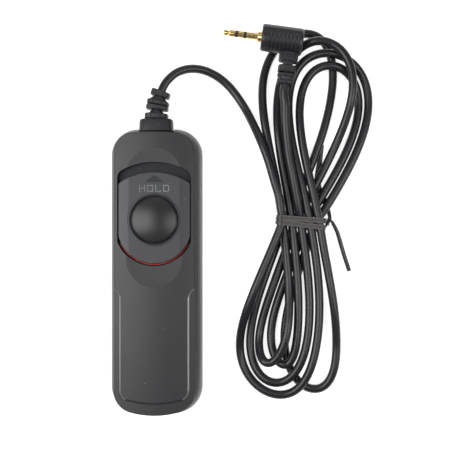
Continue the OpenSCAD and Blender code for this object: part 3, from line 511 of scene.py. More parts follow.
def to_hank(p):
    """Takes a point from the hank's own frame to the handset's."""
    c, s = cos(LEAN), sin(LEAN)
    return (WAIST[0] + p[0] * c + p[1] * s, WAIST[1] - p[0] * s + p[1] * c, p[2])


def to_plug(p):
    """Takes a point from the plug's own frame, whose pin points along -X, to the handset's."""
    c, s = cos(PLUG_TURN), sin(PLUG_TURN)
    return (PLUG_AT[0] + p[0] * c + p[1] * s, PLUG_AT[1] - p[0] * s + p[1] * c, PLUG_Z + p[2])


def sleeve_point(s):
    """Middle of the boot's bent sleeve, s millimetres from the boot's face."""
    return (SLEEVE_BEND * max(s, 0.0) ** 2, SLEEVE_Y + s, CORD_Z)


def hank_route():
    """Middle line of the hank, loop by loop from the tie down and up in turn."""
    plan = [(FRONT_SLOTS[0] + STRAIGHT_RUN[0], STRAIGHT_RUN[1], OVER_Z)]
    for k in range(5):
        start = (FRONT_SLOTS[0], OVER_Z) if k == 0 else (BACK_SLOTS[BACK_ORDER[k - 1]], BACK_Z)
        end = (FRONT_SLOTS[FRONT_ORDER[k]], FRONT_Z)
        plan += loop_points(-1, start, end, LOW_LOOPS[k], LOW_DRAW, k == 4)
        if k < 4:
            back = (BACK_SLOTS[BACK_ORDER[k]], BACK_Z)
            plan += loop_points(1, end, back, HIGH_LOOPS[k], HIGH_DRAW, False)
    plan.append((FRONT_SLOTS[FRONT_ORDER[4]] + STRAIGHT_RUN[0], STRAIGHT_RUN[1],
                 FRONT_Z + END_CLIMB))
    return [to_hank(p) for p in plan]


LEAD_ROUTE = [
    (0, 42.5, CORD_Z), (0, 50, CORD_Z), *(sleeve_point(k * SLEEVE_STEP) for k in range(4)),
    (4.2, 71.8, 6.7), (7.6, 74.8, 5.9), (12.2, 76.4, 4.7), (17.2, 76.2, 3.4),
    (22.2, 74.2, 2.3), (26.6, 70.8, 1.6), (30.4, 66.2, 1.5), (33.8, 60.6, 2.6),
    (36.8, 54, 6.1), (39.5, 47.4, 8.8), (41.8, 41, 9.5), (43.8, 34, 9.6), (45.6, 28, 9.5),
]
PLUG_ROUTE = [
    (52.8, 24.9, 7.2), (51.6, 31.1, 8.1), (50.8, 35.4, 8.6), (49.9, 39.8, 9),
    (49, 44.6, 9.3), (48.3, 50, 9.9), (47.8, 56, 10.7), (47.7, 62, 11.3),
    to_plug((RELIEF_X, -PLUG_R - RELIEF_L - 2 * CORD_R, 0)),
    to_plug((RELIEF_X, -PLUG_R - RELIEF_L, 0)),
]


def make_cord():
    """The whole cord as one tube, and its length in metres."""
    line = spline(LEAD_ROUTE + hank_route() + PLUG_ROUTE, 4)
    data = bpy.data.curves.new("cord", "CURVE")
    data.dimensions = "3D"
    data.bevel_depth = CORD_SKIN_R * MM
    data.bevel_resolution = 4
    data.use_fill_caps = True
    strand = data.splines.new("POLY")
    strand.points.add(len(line) - 1)
    for point, p in zip(strand.points, line):
        point.co = (*(p * MM), 1)
    strand.use_smooth = True
    data.materials.append(cord_skin)
    made = add_object("cord", data)
    length = sum((b - a).length for a, b in zip(line, line[1:])) * MM
    return made, length


cord, CORD_LENGTH = make_cord()
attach(cord, "handset")
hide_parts("cord_lead", "cord_hank", "cord_plug_end")


# ---- covers
CORD_CORNER_R, CORD_END_R, FAR_CORNER_R, FAR_END_R = 10.0, 100.0, 10.5, 35.0
RECESS_LOW_R, RECESS_CORNER_R = 14.3, 3.0
PANEL_X, PANEL_LOW_Y, PANEL_FLARE_Y = 12.1, -46.8, -9.2
PANEL_CORNER_R, PANEL_CROWN, FLARE_W, FLARE_L = 3.4, 1.2, 2.9, 4.4
EDGE_W, STRIP_Z = 0.6, BODY_H - 0.3
POST_X, POST_Y, POST_R, SEAT_R, FLARE_R = 11.2, 44.5, 3.1, 2.1, 2.35


def end_outline(r, crown_r, inset):
    """One end of the handset: round corners that run into a slightly crowned end."""
    across, along = BODY_W / 2 - r, BODY_L / 2 - crown_r
    reach = sqrt((crown_r - r) ** 2 - across ** 2)
    turn = degrees(atan2(reach, across))
    corner = arc((across, along + reach), r - inset, 0, turn, 24)
    crown = arc((0, along), crown_r - inset, turn, 180 - turn, 24)
    return corner + crown[1:-1] + [(-x, y) for x, y in reversed(corner)]


def handset_outline(inset):
    """Outline of the handset, moved in by inset."""
    high = end_outline(CORD_CORNER_R, CORD_END_R, inset)
    low = [(-x, -y) for x, y in end_outline(FAR_CORNER_R, FAR_END_R, inset)]
    return high + between(high[-1], low[0], 12) + low + between(low[-1], high[0], 12)


def walls(name, profile, material=None, sharp=30.0):
    """Body of the handset's outline, from pairs of height and inset."""
    return solid(name, [(handset_outline(i), z) for z, i in profile], material, sharp)


def plate_outline(width, low_y, low_r, high_y, high_r, corner, grow=0.0):
    """Outline with a round lower end and a crowned upper end."""
    h = width / 2 + grow
    low_c, low_radius = (0, low_y + low_r), low_r + grow
    low_a = degrees(acos(min(1, h / low_radius)))
    high_c, high_radius = (0, high_y - high_r), high_r + grow
    r = corner + grow
    cx = h - r
    cy = high_c[1] + sqrt((high_radius - r) ** 2 - cx * cx)
    turn = degrees(atan2(cy - high_c[1], cx))
    made = arc(low_c, low_radius, 180 + low_a, 360 - low_a, 84)
    low = made[-1][1]
    made += between((h, low), (h, cy), 30)
    made += arc((cx, cy), r, 0, turn, 18)
    made += arc(high_c, high_radius, turn, 180 - turn, 42)[1:-1]
    made += arc((-cx, cy), r, 180 - turn, 180, 18)
    return made + between((-h, cy), (-h, low), 30)


def recess_points(grow):
    """Outline of the recess, with room for the slide's travel."""
    return plate_outline(
        SLIDE_W + 2 * SLIDE_GAP, SLIDE_LOW_Y + SLIDE_LOW_R - RECESS_LOW_R, RECESS_LOW_R,
        SLIDE_HIGH_Y + HOLD_TRAVEL + 0.2, SLIDE_HIGH_R, RECESS_CORNER_R, grow)


DISH_R = ((DISH_W / 2) ** 2 + DISH_DEPTH ** 2) / (2 * DISH_DEPTH)
DISH_HIGH, DISH_LOW = DISH_HIGH_Y - DISH_W / 2, DISH_LOW_Y + DISH_W / 2


def dish_depth(reach):
    """Depth of the thumb dish at a distance from its middle line."""
    return sqrt(DISH_R ** 2 - reach ** 2) - (DISH_R - DISH_DEPTH)


def dish_drop(x, y):
    """How far the thumb dish lies under the flat top."""
    reach = hypot(x, max(0.0, y - DISH_HIGH, DISH_LOW - y))
    return dish_depth(reach) if reach < DISH_W / 2 else 0.0


def dish_tool():
    """Body that scoops the dish out of the top cover."""
    steps, turns = 26, 96
    rings = []
    for i in range(steps + 1):
        reach = DISH_W / 2 * (1.012 * i / steps)
        rings.append([(x, y + (DISH_HIGH if y > 0 else DISH_LOW), BODY_H - dish_depth(reach))
                      for x, y in circle((0, 0), reach, turns, 0.5)])
    rings.append([(x, y, BODY_H + 1.5) for x, y, _ in rings[-1]])
    verts, faces = skin(rings)
    faces.append(tuple(range(len(verts) - turns, len(verts))))
    return new_piece("dish tool", verts, faces, shell_plastic)


def panel_points(grow):
    """Raised panel of the top cover: in from the sides, down and round the far end."""
    c = (PANEL_X - PANEL_CORNER_R, PANEL_LOW_Y + PANEL_CROWN + PANEL_CORNER_R)
    bow_r = (c[0] ** 2 + PANEL_CROWN ** 2) / (2 * PANEL_CROWN)
    bow = degrees(asin(c[0] / bow_r))
    right = arc((0, PANEL_LOW_Y + bow_r), bow_r, 270, 270 + bow, 24)
    right += arc(c, PANEL_CORNER_R, -80, 0, 20)
    right += [(PANEL_X, c[1] + (PANEL_FLARE_Y - c[1]) * k / 24) for k in range(1, 25)]
    for k in range(1, 17):
        t = k / 16
        right.append((PANEL_X + FLARE_W * t * t, PANEL_FLARE_Y + FLARE_L * t))
    left = [(-x, y) for x, y in reversed(right[1:])]
    return offset(left + right, grow)


def is_recess(c, n):
    """Walls and floor of the recess, below the top cover's skin, painted near black as painted
    shade.
    """
    return (RECESS_FLOOR - 0.1 < c.z < BODY_H - 0.75 and abs(c.x) < 13.6
            and 1.8 < c.y < 41.5 and n.z > -0.5)


def is_panel_edge(c, n):
    """The sloping edge on the two long sides of the panel, painted pale as a painted highlight.
    """
    return (c.y < -4.6 and c.z > BODY_H - 0.28 and 0.8 < n.z < 0.97
            and abs(n.x) > abs(n.y) * 0.5)


def is_rim(c, n):
    """The side wall of the upper cover, below its top bevel, painted darker as painted shade."""
    return (JOINT_Z < c.z < BODY_H - 0.3 and -0.02 < n.z < 0.9
            and (abs(c.x) > 13.9 or abs(c.y) > 46))


def is_ledge(c, n):
    """The ledge of the lower cover, round the foot of the upper one, painted lighter as painted
    light.
    """
    return c.z > JOINT_Z - 2.2 and n.z > 0.12 and (abs(c.x) > 14 or abs(c.y) > 47)


def make_top_cover():
    foot, top = LEDGE, LEDGE + LEAN_IN
    profile = [
        (JOINT_Z, foot + 0.12), (JOINT_Z + 0.12, foot), (JOINT_Z + 2.5, foot + 0.14),
        (BODY_H - 3.5, foot + 0.42), (BODY_H - 1.1, top - 0.1), (BODY_H - 0.5, top - 0.03),
        (BODY_H - 0.26, top + 0.05), (BODY_H - 0.1, top + 0.16), (BODY_H, top + 0.34),
    ]
    cover = walls("cover_upper", profile)
    inner = LEDGE + WALL
    hollow = walls("hollow", [(JOINT_Z - 1, inner), (BODY_H - WALL - 0.4, inner + LEAN_IN),
                              (BODY_H - WALL, inner + LEAN_IN + 0.4)])
    cut(hollow, prism("tub", recess_points(1.2), FLOOR_LOW, BODY_H))
    cut(cover, hollow)
    bevel = 0.16
    cut(cover, solid("recess", [
        (recess_points(0), RECESS_FLOOR), (recess_points(0), BODY_H - bevel),
        (recess_points(bevel), BODY_H), (recess_points(bevel), BODY_H + 1),
    ]))
    opening_r = CUP_R + SLIDE_GAP
    stadium = arc((0, BUTTON_Y + HOLD_TRAVEL), opening_r, 0, 180, 48)
    stadium += arc((0, BUTTON_Y), opening_r, 180, 360, 48)
    cut(cover, prism("opening", stadium, FLOOR_LOW - 1, BODY_H))
    # strip round the panel, one step lower, with a fine groove at the foot of the step
    foot_line, head_line = panel_points(EDGE_W), panel_points(0.0)
    strip = prism("strip", box(-20, -60, 20, -5), STRIP_Z, BODY_H + 1)
    cut(strip, solid("panel", [(foot_line, STRIP_Z - 0.5), (foot_line, STRIP_Z),
                               (head_line, BODY_H), (head_line, BODY_H + 2)]))
    cut(cover, strip)
    groove = solid("groove", [(panel_points(EDGE_W + 0.16), STRIP_Z - 0.12),
                              (panel_points(EDGE_W + 0.2), BODY_H - 0.1)])
    cut(groove, prism("core", foot_line, STRIP_Z - 1, BODY_H + 1))
    cut(cover, groove)
    cut(cover, dish_tool())
    cut(cover, prism("neck", box(-3.6, 49.6, 3.6, BODY_L / 2), 4.0, 9.9))
    mark_sharp(cover)
    paint(cover, recess_shade_plastic, is_recess)
    paint(cover, highlight_edge_plastic, is_panel_edge)
    paint(cover, side_shade_plastic, is_rim)
    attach(cover, "handset")
    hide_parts("top_cover")


def make_bottom_cover():
    marks = [(0, 2.0), (0.8, 0.9), (2.2, 0.2), (4, 0.0), (6, 0.3), (7.3, 1.0), (8, 1.8)]
    profile = [(0, 2.25), (0.06, 2.0)]
    for start, end in zip(marks, marks[1:]):
        profile += [*between(start, end, 4), end]
    # three rounds of averaging soften the corners of the profile
    for _ in range(3):
        profile = [profile[0]] + [
            ((a[0] + 2 * b[0] + c[0]) / 4, (a[1] + 2 * b[1] + c[1]) / 4)
            for a, b, c in zip(profile, profile[1:], profile[2:])
        ] + [profile[-1]]
    # the lower cover's lighter colour is painted light
    cover = walls("cover_lower", profile, lit_base_plastic, 40)
    cut(cover, walls("hollow", [(WALL, LEDGE + WALL), (JOINT_Z + 1, LEDGE + WALL)]))
    for sx in (-1, 1):
        for sy in (-1, 1):
            centre = (sx * POST_X, sy * POST_Y)
            post = arc(centre, POST_R, 0, 357, 119)
            cut(cover, prism("post", post, WALL / 2, JOINT_Z), "UNION")
            seat = arc(centre, SEAT_R, 0, 356, 89)
            flare = arc(centre, FLARE_R, 0, 356, 89)
            cut(cover, solid("seat", [(flare, -0.5), (flare, 0), (seat, 0.25), (seat, 3)]))
    cut(cover, prism("notch", box(-6.6, 52.1, 6.6, 60), 2.1, 12))
    mark_sharp(cover, 34)
    paint(cover, lit_ledge_plastic, is_ledge)
    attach(cover, "handset")
    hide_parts("bottom_cover")


make_top_cover()
make_bottom_cover()


# ---- hold slide
SLIDE_TURNS = 288
RUNNER_X, RUNNER_W, RUNNER_LOW_Y, RUNNER_HIGH_Y, RUNNER_LOW_Z = 11.6, 1.2, 14, 31, 14.5


def ray_outline(outline, centre, count):
    """Points of a closed outline at even angles about a centre."""
    around = [(x - centre[0], y - centre[1]) for x, y in outline]
    made = []
    for dx, dy in circle((0, 0), 1, count):
        best = 0.0
        for (x1, y1), (x2, y2) in zip(around, around[1:] + around[:1]):
            ex, ey = x2 - x1, y2 - y1
            den = dx * ey - dy * ex
            if abs(den) < 1e-12:
                continue
            t = (x1 * ey - y1 * ex) / den
            u = (x1 * dy - y1 * dx) / den
            if t > 0 and -1e-9 <= u <= 1 + 1e-9:
                best = max(best, t)
        made.append((centre[0] + dx * best, centre[1] + dy * best))
    return made


def make_slide():
    """Plate with its dish, the bezel round the button and the cup below, as one skin."""
    centre = (0, BUTTON_Y)
    edge = ray_outline(
        plate_outline(SLIDE_W, SLIDE_LOW_Y, SLIDE_LOW_R, SLIDE_HIGH_Y, SLIDE_HIGH_R,
                      SLIDE_CORNER_R), centre, SLIDE_TURNS)
    bezel_out, bezel_in = BORE_R + 1.05, BORE_R + 0.62

    def skin_z(x, y):
        return min(SLIDE_TOP, BODY_H - dish_drop(x, y))

    rings = [at(edge, SLIDE_LOW + 0.1), at(edge, SLIDE_LOW + 0.6)]
    rim = 0.22
    for turned in (0, 25, 50, 70, 90):
        a = radians(turned)
        inner = offset(edge, -rim * (1 - cos(a)))
        rings.append([(x, y, skin_z(x, y) - rim * (1 - sin(a))) for x, y in inner])
    start, bezel = offset(edge, -rim), circle(centre, bezel_out, SLIDE_TURNS)
    steps = 30
    for i in range(1, steps + 1):
        t = i / steps
        inner = [(x + (ex - x) * t, y + (ey - y) * t)
                 for (x, y), (ex, ey) in zip(start, bezel)]
        rings.append([(x, y, skin_z(x, y)) for x, y in inner])
    top, cup_low = BODY_H - 0.32, FLOOR_LOW - 1.2
    bore = [
        (bezel_out - 0.05, top - 0.06), (bezel_out - 0.16, top), (bezel_in, top),
        (BORE_R + 0.08, top - 0.52), (BORE_R, top - 0.62), (BORE_R, FLOOR_LOW),
        (STEM_R + 0.06, FLOOR_LOW), (STEM_R + 0.06, cup_low), (CUP_R, cup_low),
        (CUP_R, SLIDE_LOW + 0.02),
    ]
    rings += [at(circle(centre, r, SLIDE_TURNS), z) for r, z in bore]
    rings.append(at(offset(edge, -0.1), SLIDE_LOW))
    pieces = [loft("hold_plate", rings, slide_plastic, closed=True, sharp=32)]
    # a runner on each side, under the plate
    for x in (-RUNNER_X, RUNNER_X):
        runner = box(x - RUNNER_W / 2, RUNNER_LOW_Y, x + RUNNER_W / 2, RUNNER_HIGH_Y)
        pieces.append(solid("runner", [(offset(runner, -0.12), RUNNER_LOW_Z),
                                       (runner, RUNNER_LOW_Z + 0.12), (runner, 15.1)],
                            slide_plastic))
    made = merge("hold_plate_with_runners", pieces)
    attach(made, "slide")
    return made


# ---- legend
LETTER_H, LETTER_W, LETTER_STEP, LETTER_Y, STROKE = 2.6, 2.25, 2.9, 29.6, 0.45


def letters():
    """Strokes of the letters of HOLD, each as boxes (x0, y0, x1, y1)."""
    h, w, s = LETTER_H, LETTER_W, STROKE
    left, right = (0, 0, s, h), (w - s, 0, w, h)
    return (
        (left, right, (s, (h - s) / 2, w - s, (h + s) / 2)),
        (left, right, (s, 0, w - s, s), (s, h - s, w - s, h)),
        (left, (s, 0, w, s)),
        (left, (w - s, 0.3, w, h - 0.3), (s, 0, w - s + 0.1, s), (s, h - s, w - s + 0.1, h)),
    )


def raised_block(name, outline, lift, chamfer, material):
    """A raised mark that follows the dish, with a small chamfer."""
    levels = (outline, -0.5), (outline, lift - chamfer), (offset(outline, -chamfer), lift)
    rings = [[(x, y, BODY_H - dish_drop(x, y) + z) for x, y in points] for points, z in levels]
    return loft(name, rings, material, sharp=20)


def make_legend():
    marks = []
    left = -(3 * LETTER_STEP + LETTER_W) / 2
    for i, letter in enumerate(letters()):
        ox = left + i * LETTER_STEP
        for x0, y0, x1, y1 in letter:
            stroke = box(ox + x0, LETTER_Y + y0, ox + x1, LETTER_Y + y1)
            # the letters' pale colour is a painted highlight
            marks.append(raised_block("stroke", stroke, 0.13, 0.07, legend_highlight_plastic))
    word = merge("hold_word", marks)
    arrow = raised_block(
        "hold_arrow", [(-3.3, LETTER_Y + 3.6), (3.3, LETTER_Y + 3.6), (0, LETTER_Y + 6.2)],
        0.08, 0.06, arrow_plastic)
    for piece in (word, arrow):
        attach(piece, "slide")


slide = make_slide()
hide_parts("hold_slider")
make_legend()


# ---- red rim and button
def make_red_rim():
    """Red strip on the recess floor with a thin rim in the gap below the slide."""
    cy = SLIDE_LOW_Y + SLIDE_LOW_R
    rim_in, rim_out, rim_z = SLIDE_LOW_R + 0.14, SLIDE_LOW_R + 0.46, 16.0
    strip_in, strip_z = 10.5, 14.8
    section = [
        (strip_in, RECESS_FLOOR), (rim_out, RECESS_FLOOR), (rim_out, rim_z - 0.08),
        (rim_out - 0.08, rim_z), (rim_in + 0.08, rim_z), (rim_in, rim_z - 0.08),
        (rim_in, strip_z), (strip_in, strip_z),
    ]
    # the strip ends 25 degrees short of the middle line on both sides
    around = arc((0, 0), 1, 180 + 25, 360 - 25, 120)
    rings = [[(r * c, cy + r * s, z) for r, z in section] for c, s in around]
    made = loft("red_strip", rings, signal_red)
    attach(made, "handset")
    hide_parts("red_indicator")


def make_button():
    """Domed cap with a rounded edge, hollow below, on a stem with a groove for the clip."""
    round_r = 0.5
    edge = 90 - degrees(asin((BUTTON_R - round_r) / DOME_R))
    profile = arc((0, BUTTON_TOP - DOME_R), DOME_R, 90, edge, 24)
    profile[0] = (AXIS_R, BUTTON_TOP)
    edge_r, edge_z = profile[-1]
    a = radians(edge)
    round_c = (edge_r - round_r * cos(a), edge_z - round_r * sin(a))
    profile += arc(round_c, round_r, edge, 0, 8)[1:]
    profile[-1] = (BUTTON_R, profile[-1][1])
    cap_low, cap_r, cap_roof, groove_r, foot = 14.7, 6.1, 16.6, 1.9, 9.4
    profile += [
        (BUTTON_R, cap_low + 0.3), (BUTTON_R, cap_low), (cap_r, cap_low), (cap_r, cap_roof),
        (STEM_R, cap_roof), (STEM_R, 11.6), (groove_r, 11.6), (groove_r, 10.95),
        (STEM_R, 10.95), (STEM_R, foot + 0.4), (STEM_R - 0.5, foot), (AXIS_R, foot),
    ]
    made = revolve("button", profile, button_plastic, (0, BUTTON_Y), 128, 28)
    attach(made, "button")
    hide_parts("shutter_button")


make_red_rim()
make_button()


# ---- strain reliefs
RELIEF_NECK = (3.7, 4.9)


def rounded_section(w, h):
    """Rounded rectangle of the given width and height, drawn as a superellipse."""
    power = 2 / 3.4
    return [(copysign(abs(c) ** power, c) * w / 2, copysign(abs(s) ** power, s) * h / 2)
            for c, s in circle((0, 0), 1, 40, 0.5)]


def sleeve_line(s):
    """Middle of the bent sleeve and its heading."""
    return Vector(sleeve_point(s)), Vector((2 * SLEEVE_BEND * max(s, 0.0), 1, 0)).normalized()


def relief_line(s):
    """Middle of the plug's strain relief and its heading, s millimetres from the plug body."""
    heading = Vector((-sin(PLUG_TURN), -cos(PLUG_TURN), 0))
    return Vector(to_plug((RELIEF_X, -PLUG_R - s, 0))), heading


def swept_sections(name, stations, line):
    """Rounded sections along a line: each station is (place, width, height)."""
    rings = []
    for s, w, h in stations:
        middle, heading = line(s)
        across = Vector((heading.y, -heading.x, 0))
        rings.append([tuple(middle + across * x + Vector((0, 0, z)))
                      for x, z in rounded_section(w, h)])
    return loft(name, rings, boot_rubber, sharp=35)


def rib(start, length, w, h, neck, edge=0.25):
    """Stations of one rib with softened edges between two necks."""
    return [
        (start - 0.02, *neck), (start, w - 2 * edge, h - 2 * edge), (start + edge, w, h),
        (start + length - edge, w, h), (start + length, w - 2 * edge, h - 2 * edge),
        (start + length + 0.02, *neck),
    ]


def make_boot():
    """Flange and groove in the covers' opening, a block outside and four ribs."""
    stations = [
        (-8.3, 10.4, 7.4), (-8.1, 10.6, 7.6), (-6.9, 10.6, 7.6), (-6.7, 10.4, 7.4),
        (-6.65, 7.0, 5.6), (-4.82, 7.0, 5.6), (-4.8, 12.3, 8.9), (-4.6, 12.8, 9.4),
        (-1.0, 12.5, 9.2), (-0.35, 12.1, 8.8), (-0.1, 11.4, 8.2), (-0.02, 10.6, 7.8),
        *rib(0.1, 1.9, 8.8, 7.6, (6.0, 6.6), 0.22), *rib(3.45, 1.65, 8.4, 7.3, (3.6, 5.6)),
        *rib(5.28, 1.55, 8.3, 7.1, (7.4, 6.3)), *rib(8.35, 2.1, 7.3, 6.5, (3.5, 5.4))[:-1],
        (10.48, 4.4, 4.4),
    ]
    boot = swept_sections("boot", stations, sleeve_line)
    # a pair of shallow slots in the upper face of the ribs: place, distance apart, height
    half_w, half_l, depth = 0.25, 0.6, 0.35
    for s, apart, high in ((1.05, 1.9, 10.8), (6.05, 1.7, 10.55), (9.4, 1.5, 10.25)):
        middle, heading = sleeve_line(s)
        across = Vector((heading.y, -heading.x, 0))
        for side in (-1, 1):
            spot = middle + across * side * apart
            slot = [(spot + across * x + heading * y).to_tuple()[:2]
                    for x, y in box(-half_w, -half_l, half_w, half_l)]
            cut(boot, prism("slot", slot, high - depth, high + 1))
    mark_sharp(boot, 35, 20)
    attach(boot, "handset")
    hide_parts("strain_relief")
    return boot


def make_plug_relief():
    """Collar at the plug, then three ribs."""
    stations = [
        (-0.5, 6.8, 6.4), (-0.3, 7.2, 6.6), (2.6, 7.0, 6.5), (2.85, 6.6, 6.1),
        (2.87, *RELIEF_NECK), (4.3, *RELIEF_NECK), *rib(4.32, 2.5, 6.7, 6.3, RELIEF_NECK),
        *rib(7.2, 1.3, 6.5, 6.1, (5.6, 5.2)), *rib(9.75, 1.43, 6.0, 5.8, (3.7, 4.6))[:-1],
        (11.19, 4.0, 4.0),
    ]
    made = swept_sections("plug_boot", stations, relief_line)
    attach(made, "handset")
    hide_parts("plug_relief")
    return made


boot = make_boot()
plug_boot = make_plug_relief()


# ---- plug
GROOVES, GROOVE_STEP, GROOVE_LOW = 8, 1.45, -4.3
PIN_R, PIN_EDGE, INSULATOR_R = 1.25, 0.05, 1.22


def to_pin(piece):
    """Lays a piece made on the Z axis so that +Z points out of the plug's pin."""
    turn = Matrix.Rotation(-PLUG_TURN, 4, "Z") @ Matrix.Rotation(-pi / 2, 4, "Y")
    turn.translation = Vector((*PLUG_AT, PLUG_Z)) * MM
    piece.data.transform(turn)
    return piece


def make_plug_body():
    r, half, straight = PLUG_R, PLUG_L / 2, PLUG_L - 2.6
    profile = [
        (AXIS_R, half), (2.3, half), (2.45, half - 0.12), (3.0, half - 0.12),
        (r - 0.75, half - 0.02), (r - 0.35, half - 0.12), (r - 0.1, half - 0.4),
        (r, half - 0.85), *((r, half - 0.85 - straight * k / 24) for k in range(1, 25)),
        (r - 0.04, -half + 0.7), (r - 0.16, -half + 0.35), (r - 0.4, -half + 0.12),
        (r - 0.75, -half), (AXIS_R, -half),
    ]
    body = to_pin(revolve("plug_shell", profile, plug_rubber, (0, 0), 128, 40))
    section = [(0.36 * c, 0.5 * s) for c, s in circle((0, 0), 1, 24)]
    for i in range(GROOVES):
        # one grip groove: a shallow scoop across the front lower side
        s = GROOVE_LOW + i * GROOVE_STEP
        rings = []
        for j in range(15):
            turn = radians(24 + 76 * j / 14)
            reach = r + 0.5 - (0.05 + 0.4 * sin(pi * j / 14) ** 0.6)
            out_y, out_z = -cos(turn), sin(turn)
            rings.append([to_plug((s + u, out_y * (reach + v), out_z * (reach + v)))
                          for u, v in section])
        cut(body, loft("scoop", rings, plug_rubber))
    mark_sharp(body, 38, 20)
    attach(body, "handset")
    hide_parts("plug_body")
    return body


def make_pin():
    """Collar, sleeve, ring and tip with their two insulators; heights from the collar's end."""
    base = PLUG_L / 2 + 1.5
    flat = PIN_R - PIN_EDGE
    # the tip: a straight part, a waist and a round nose
    tip = [(AXIS_R, 8.1), (flat, 8.1), (PIN_R, 8.1 + PIN_EDGE), (PIN_R, 10), (INSULATOR_R, 10.2)]
    swell = [(k / 8, sin(k * pi / 16)) for k in range(1, 9)]
    tip += [(PIN_R - 0.53 * rise ** 1.5, 10.2 + 0.7 * t) for t, rise in swell]
    tip += [(0.72 + 0.43 * rise, 10.9 + 0.8 * t) for t, rise in swell]
    tip += [(max(AXIS_R, 1.15 * c ** 0.9), 11.7 + s) for c, s in arc((0, 0), 1, 9, 90, 9)]
    rear, front = [
        [(AXIS_R, low), (INSULATOR_R, low), (INSULATOR_R, low + 0.9), (AXIS_R, low + 0.9)]
        for low in (4.1, 7.2)]
    parts = (
        ("pin_collar", "plug_collar", [(AXIS_R, -2.5), (2, -2.5), (2, -0.4), (1.9, -0.2),
                                       (1.65, 0), (AXIS_R, 0)]),
        ("pin_sleeve", "plug_sleeve", [(AXIS_R, -0.01), (PIN_R, -0.01), (PIN_R, 4.1 - PIN_EDGE),
                                       (flat, 4.1), (AXIS_R, 4.1)]),
        ("pin_ring", "plug_ring", [(AXIS_R, 5), (flat, 5), (PIN_R, 5 + PIN_EDGE),
                                   (PIN_R, 7.2 - PIN_EDGE), (flat, 7.2), (AXIS_R, 7.2)]),
        ("pin_insulator_rear", "rear_insulator", rear),
        ("pin_insulator_front", "front_insulator", front),
        ("pin_tip", "plug_tip", tip),
    )
    made = []
    for name, cad, profile in parts:
        dark = "insulator" in name
        finish = insulator_black if dark else contact_gold
        piece = to_pin(revolve(name, [(r, base + z) for r, z in profile], finish, (0, 0), 64))
        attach(piece, "handset")
        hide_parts(cad)
        made.append(piece)
    return made


plug_shell = make_plug_body()
pin_parts = make_pin()


# ---- twist tie
TIE_W, TIE_T, BAND_GAP, SWAY = 1.9, 0.42, 0.2, 0.6
KNOT_X = FRONT_SLOTS[4] + SWAY + CORD_R + BAND_GAP + TIE_T
# section of the ribbon, in halves of its width and thickness
TAPE = ((-1, -0.45), (-0.32, -0.5), (0, -1), (0.32, -0.5), (1, -0.45), (1, 0.45),
        (0.32, 0.5), (0.14, 1), (-0.14, 1), (-0.32, 0.5), (-1, 0.45))


def heading_at(line, i):
    """Direction of a line at one of its points."""
    return (line[min(i + 1, len(line) - 1)] - line[max(i - 1, 0)]).normalized()


def ribbon(line, widths, normals):
    """Flat ribbon with a thin wire ridge along its middle."""
    rings = []
    for i, point in enumerate(line):
        ahead = heading_at(line, i)
        up = normals[i] - ahead * normals[i].dot(ahead)
        up.normalize()
        across = ahead.cross(up)
        rings.append([tuple(point + across * (widths[i] / 2 * a) + up * (TIE_T / 2 * b))
                      for a, b in TAPE])
    return loft("tail", rings, tie_film, sharp=50)


def hull_path(grow):
    """Line of a band round the waist, in the hank's own section."""
    spots = [(FRONT_SLOTS[0] - SWAY, OVER_Z), (FRONT_SLOTS[0] - SWAY, FRONT_Z),
             (BACK_SLOTS[0] - SWAY, BACK_Z), (BACK_SLOTS[3] + 2 * SWAY, BACK_Z),
             (FRONT_SLOTS[4] + SWAY, FRONT_Z)]
    r = CORD_R + grow
    made = []
    for before, here, after in zip(spots[-1:] + spots, spots, spots[1:] + spots[:1]):
        a0 = atan2(here[1] - before[1], here[0] - before[0]) - pi / 2
        a1 = atan2(after[1] - here[1], after[0] - here[0]) - pi / 2
        while a1 < a0 - 1e-9:
            a1 += 2 * pi
        steps = max(2, int((a1 - a0) / radians(12)))
        made += arc(here, r, degrees(a0), degrees(a1), steps)
    return made


def make_band(middle, slant):
    """One turn of the tie round the waist, leaning a little across it."""
    edge = TIE_W / 2
    section = ((0, -edge), (0, edge), (0.6, edge), (0.6, 0.3), (1, 0.16), (1, -0.16),
               (0.6, -0.3), (0.6, -edge))
    rings = []
    for (ix, iz), (ox, oz) in zip(hull_path(BAND_GAP), hull_path(BAND_GAP + TIE_T)):
        lean = middle + slant * (ox / 9)
        rings.append([to_hank((ix + (ox - ix) * out, lean + dv, iz + (oz - iz) * out))
                      for out, dv in section])
    return loft("band", rings, tie_film, closed=True, sharp=50)


def make_tail(points, widths, twists, steps=8):
    """Ribbon through points; each twist is (start, end, angle) along its length."""
    up = Vector((0, 0, 1))
    line = [Vector(to_hank(p)) for p in spline(points, steps)]
    parts = len(widths) - 1
    wide, tops = [], []
    for i in range(len(line)):
        t = i / (len(line) - 1)
        j = min(int(t * parts), parts - 1)
        wide.append(widths[j] + (widths[j + 1] - widths[j]) * (t * parts - j))
        a = sum(angle * max(0.0, min(1.0, (t - start) / (end - start)))
                for start, end, angle in twists)
        side = heading_at(line, i).cross(up).normalized()
        tops.append(up * cos(a) + side * sin(a))
    return ribbon(line, wide, tops)


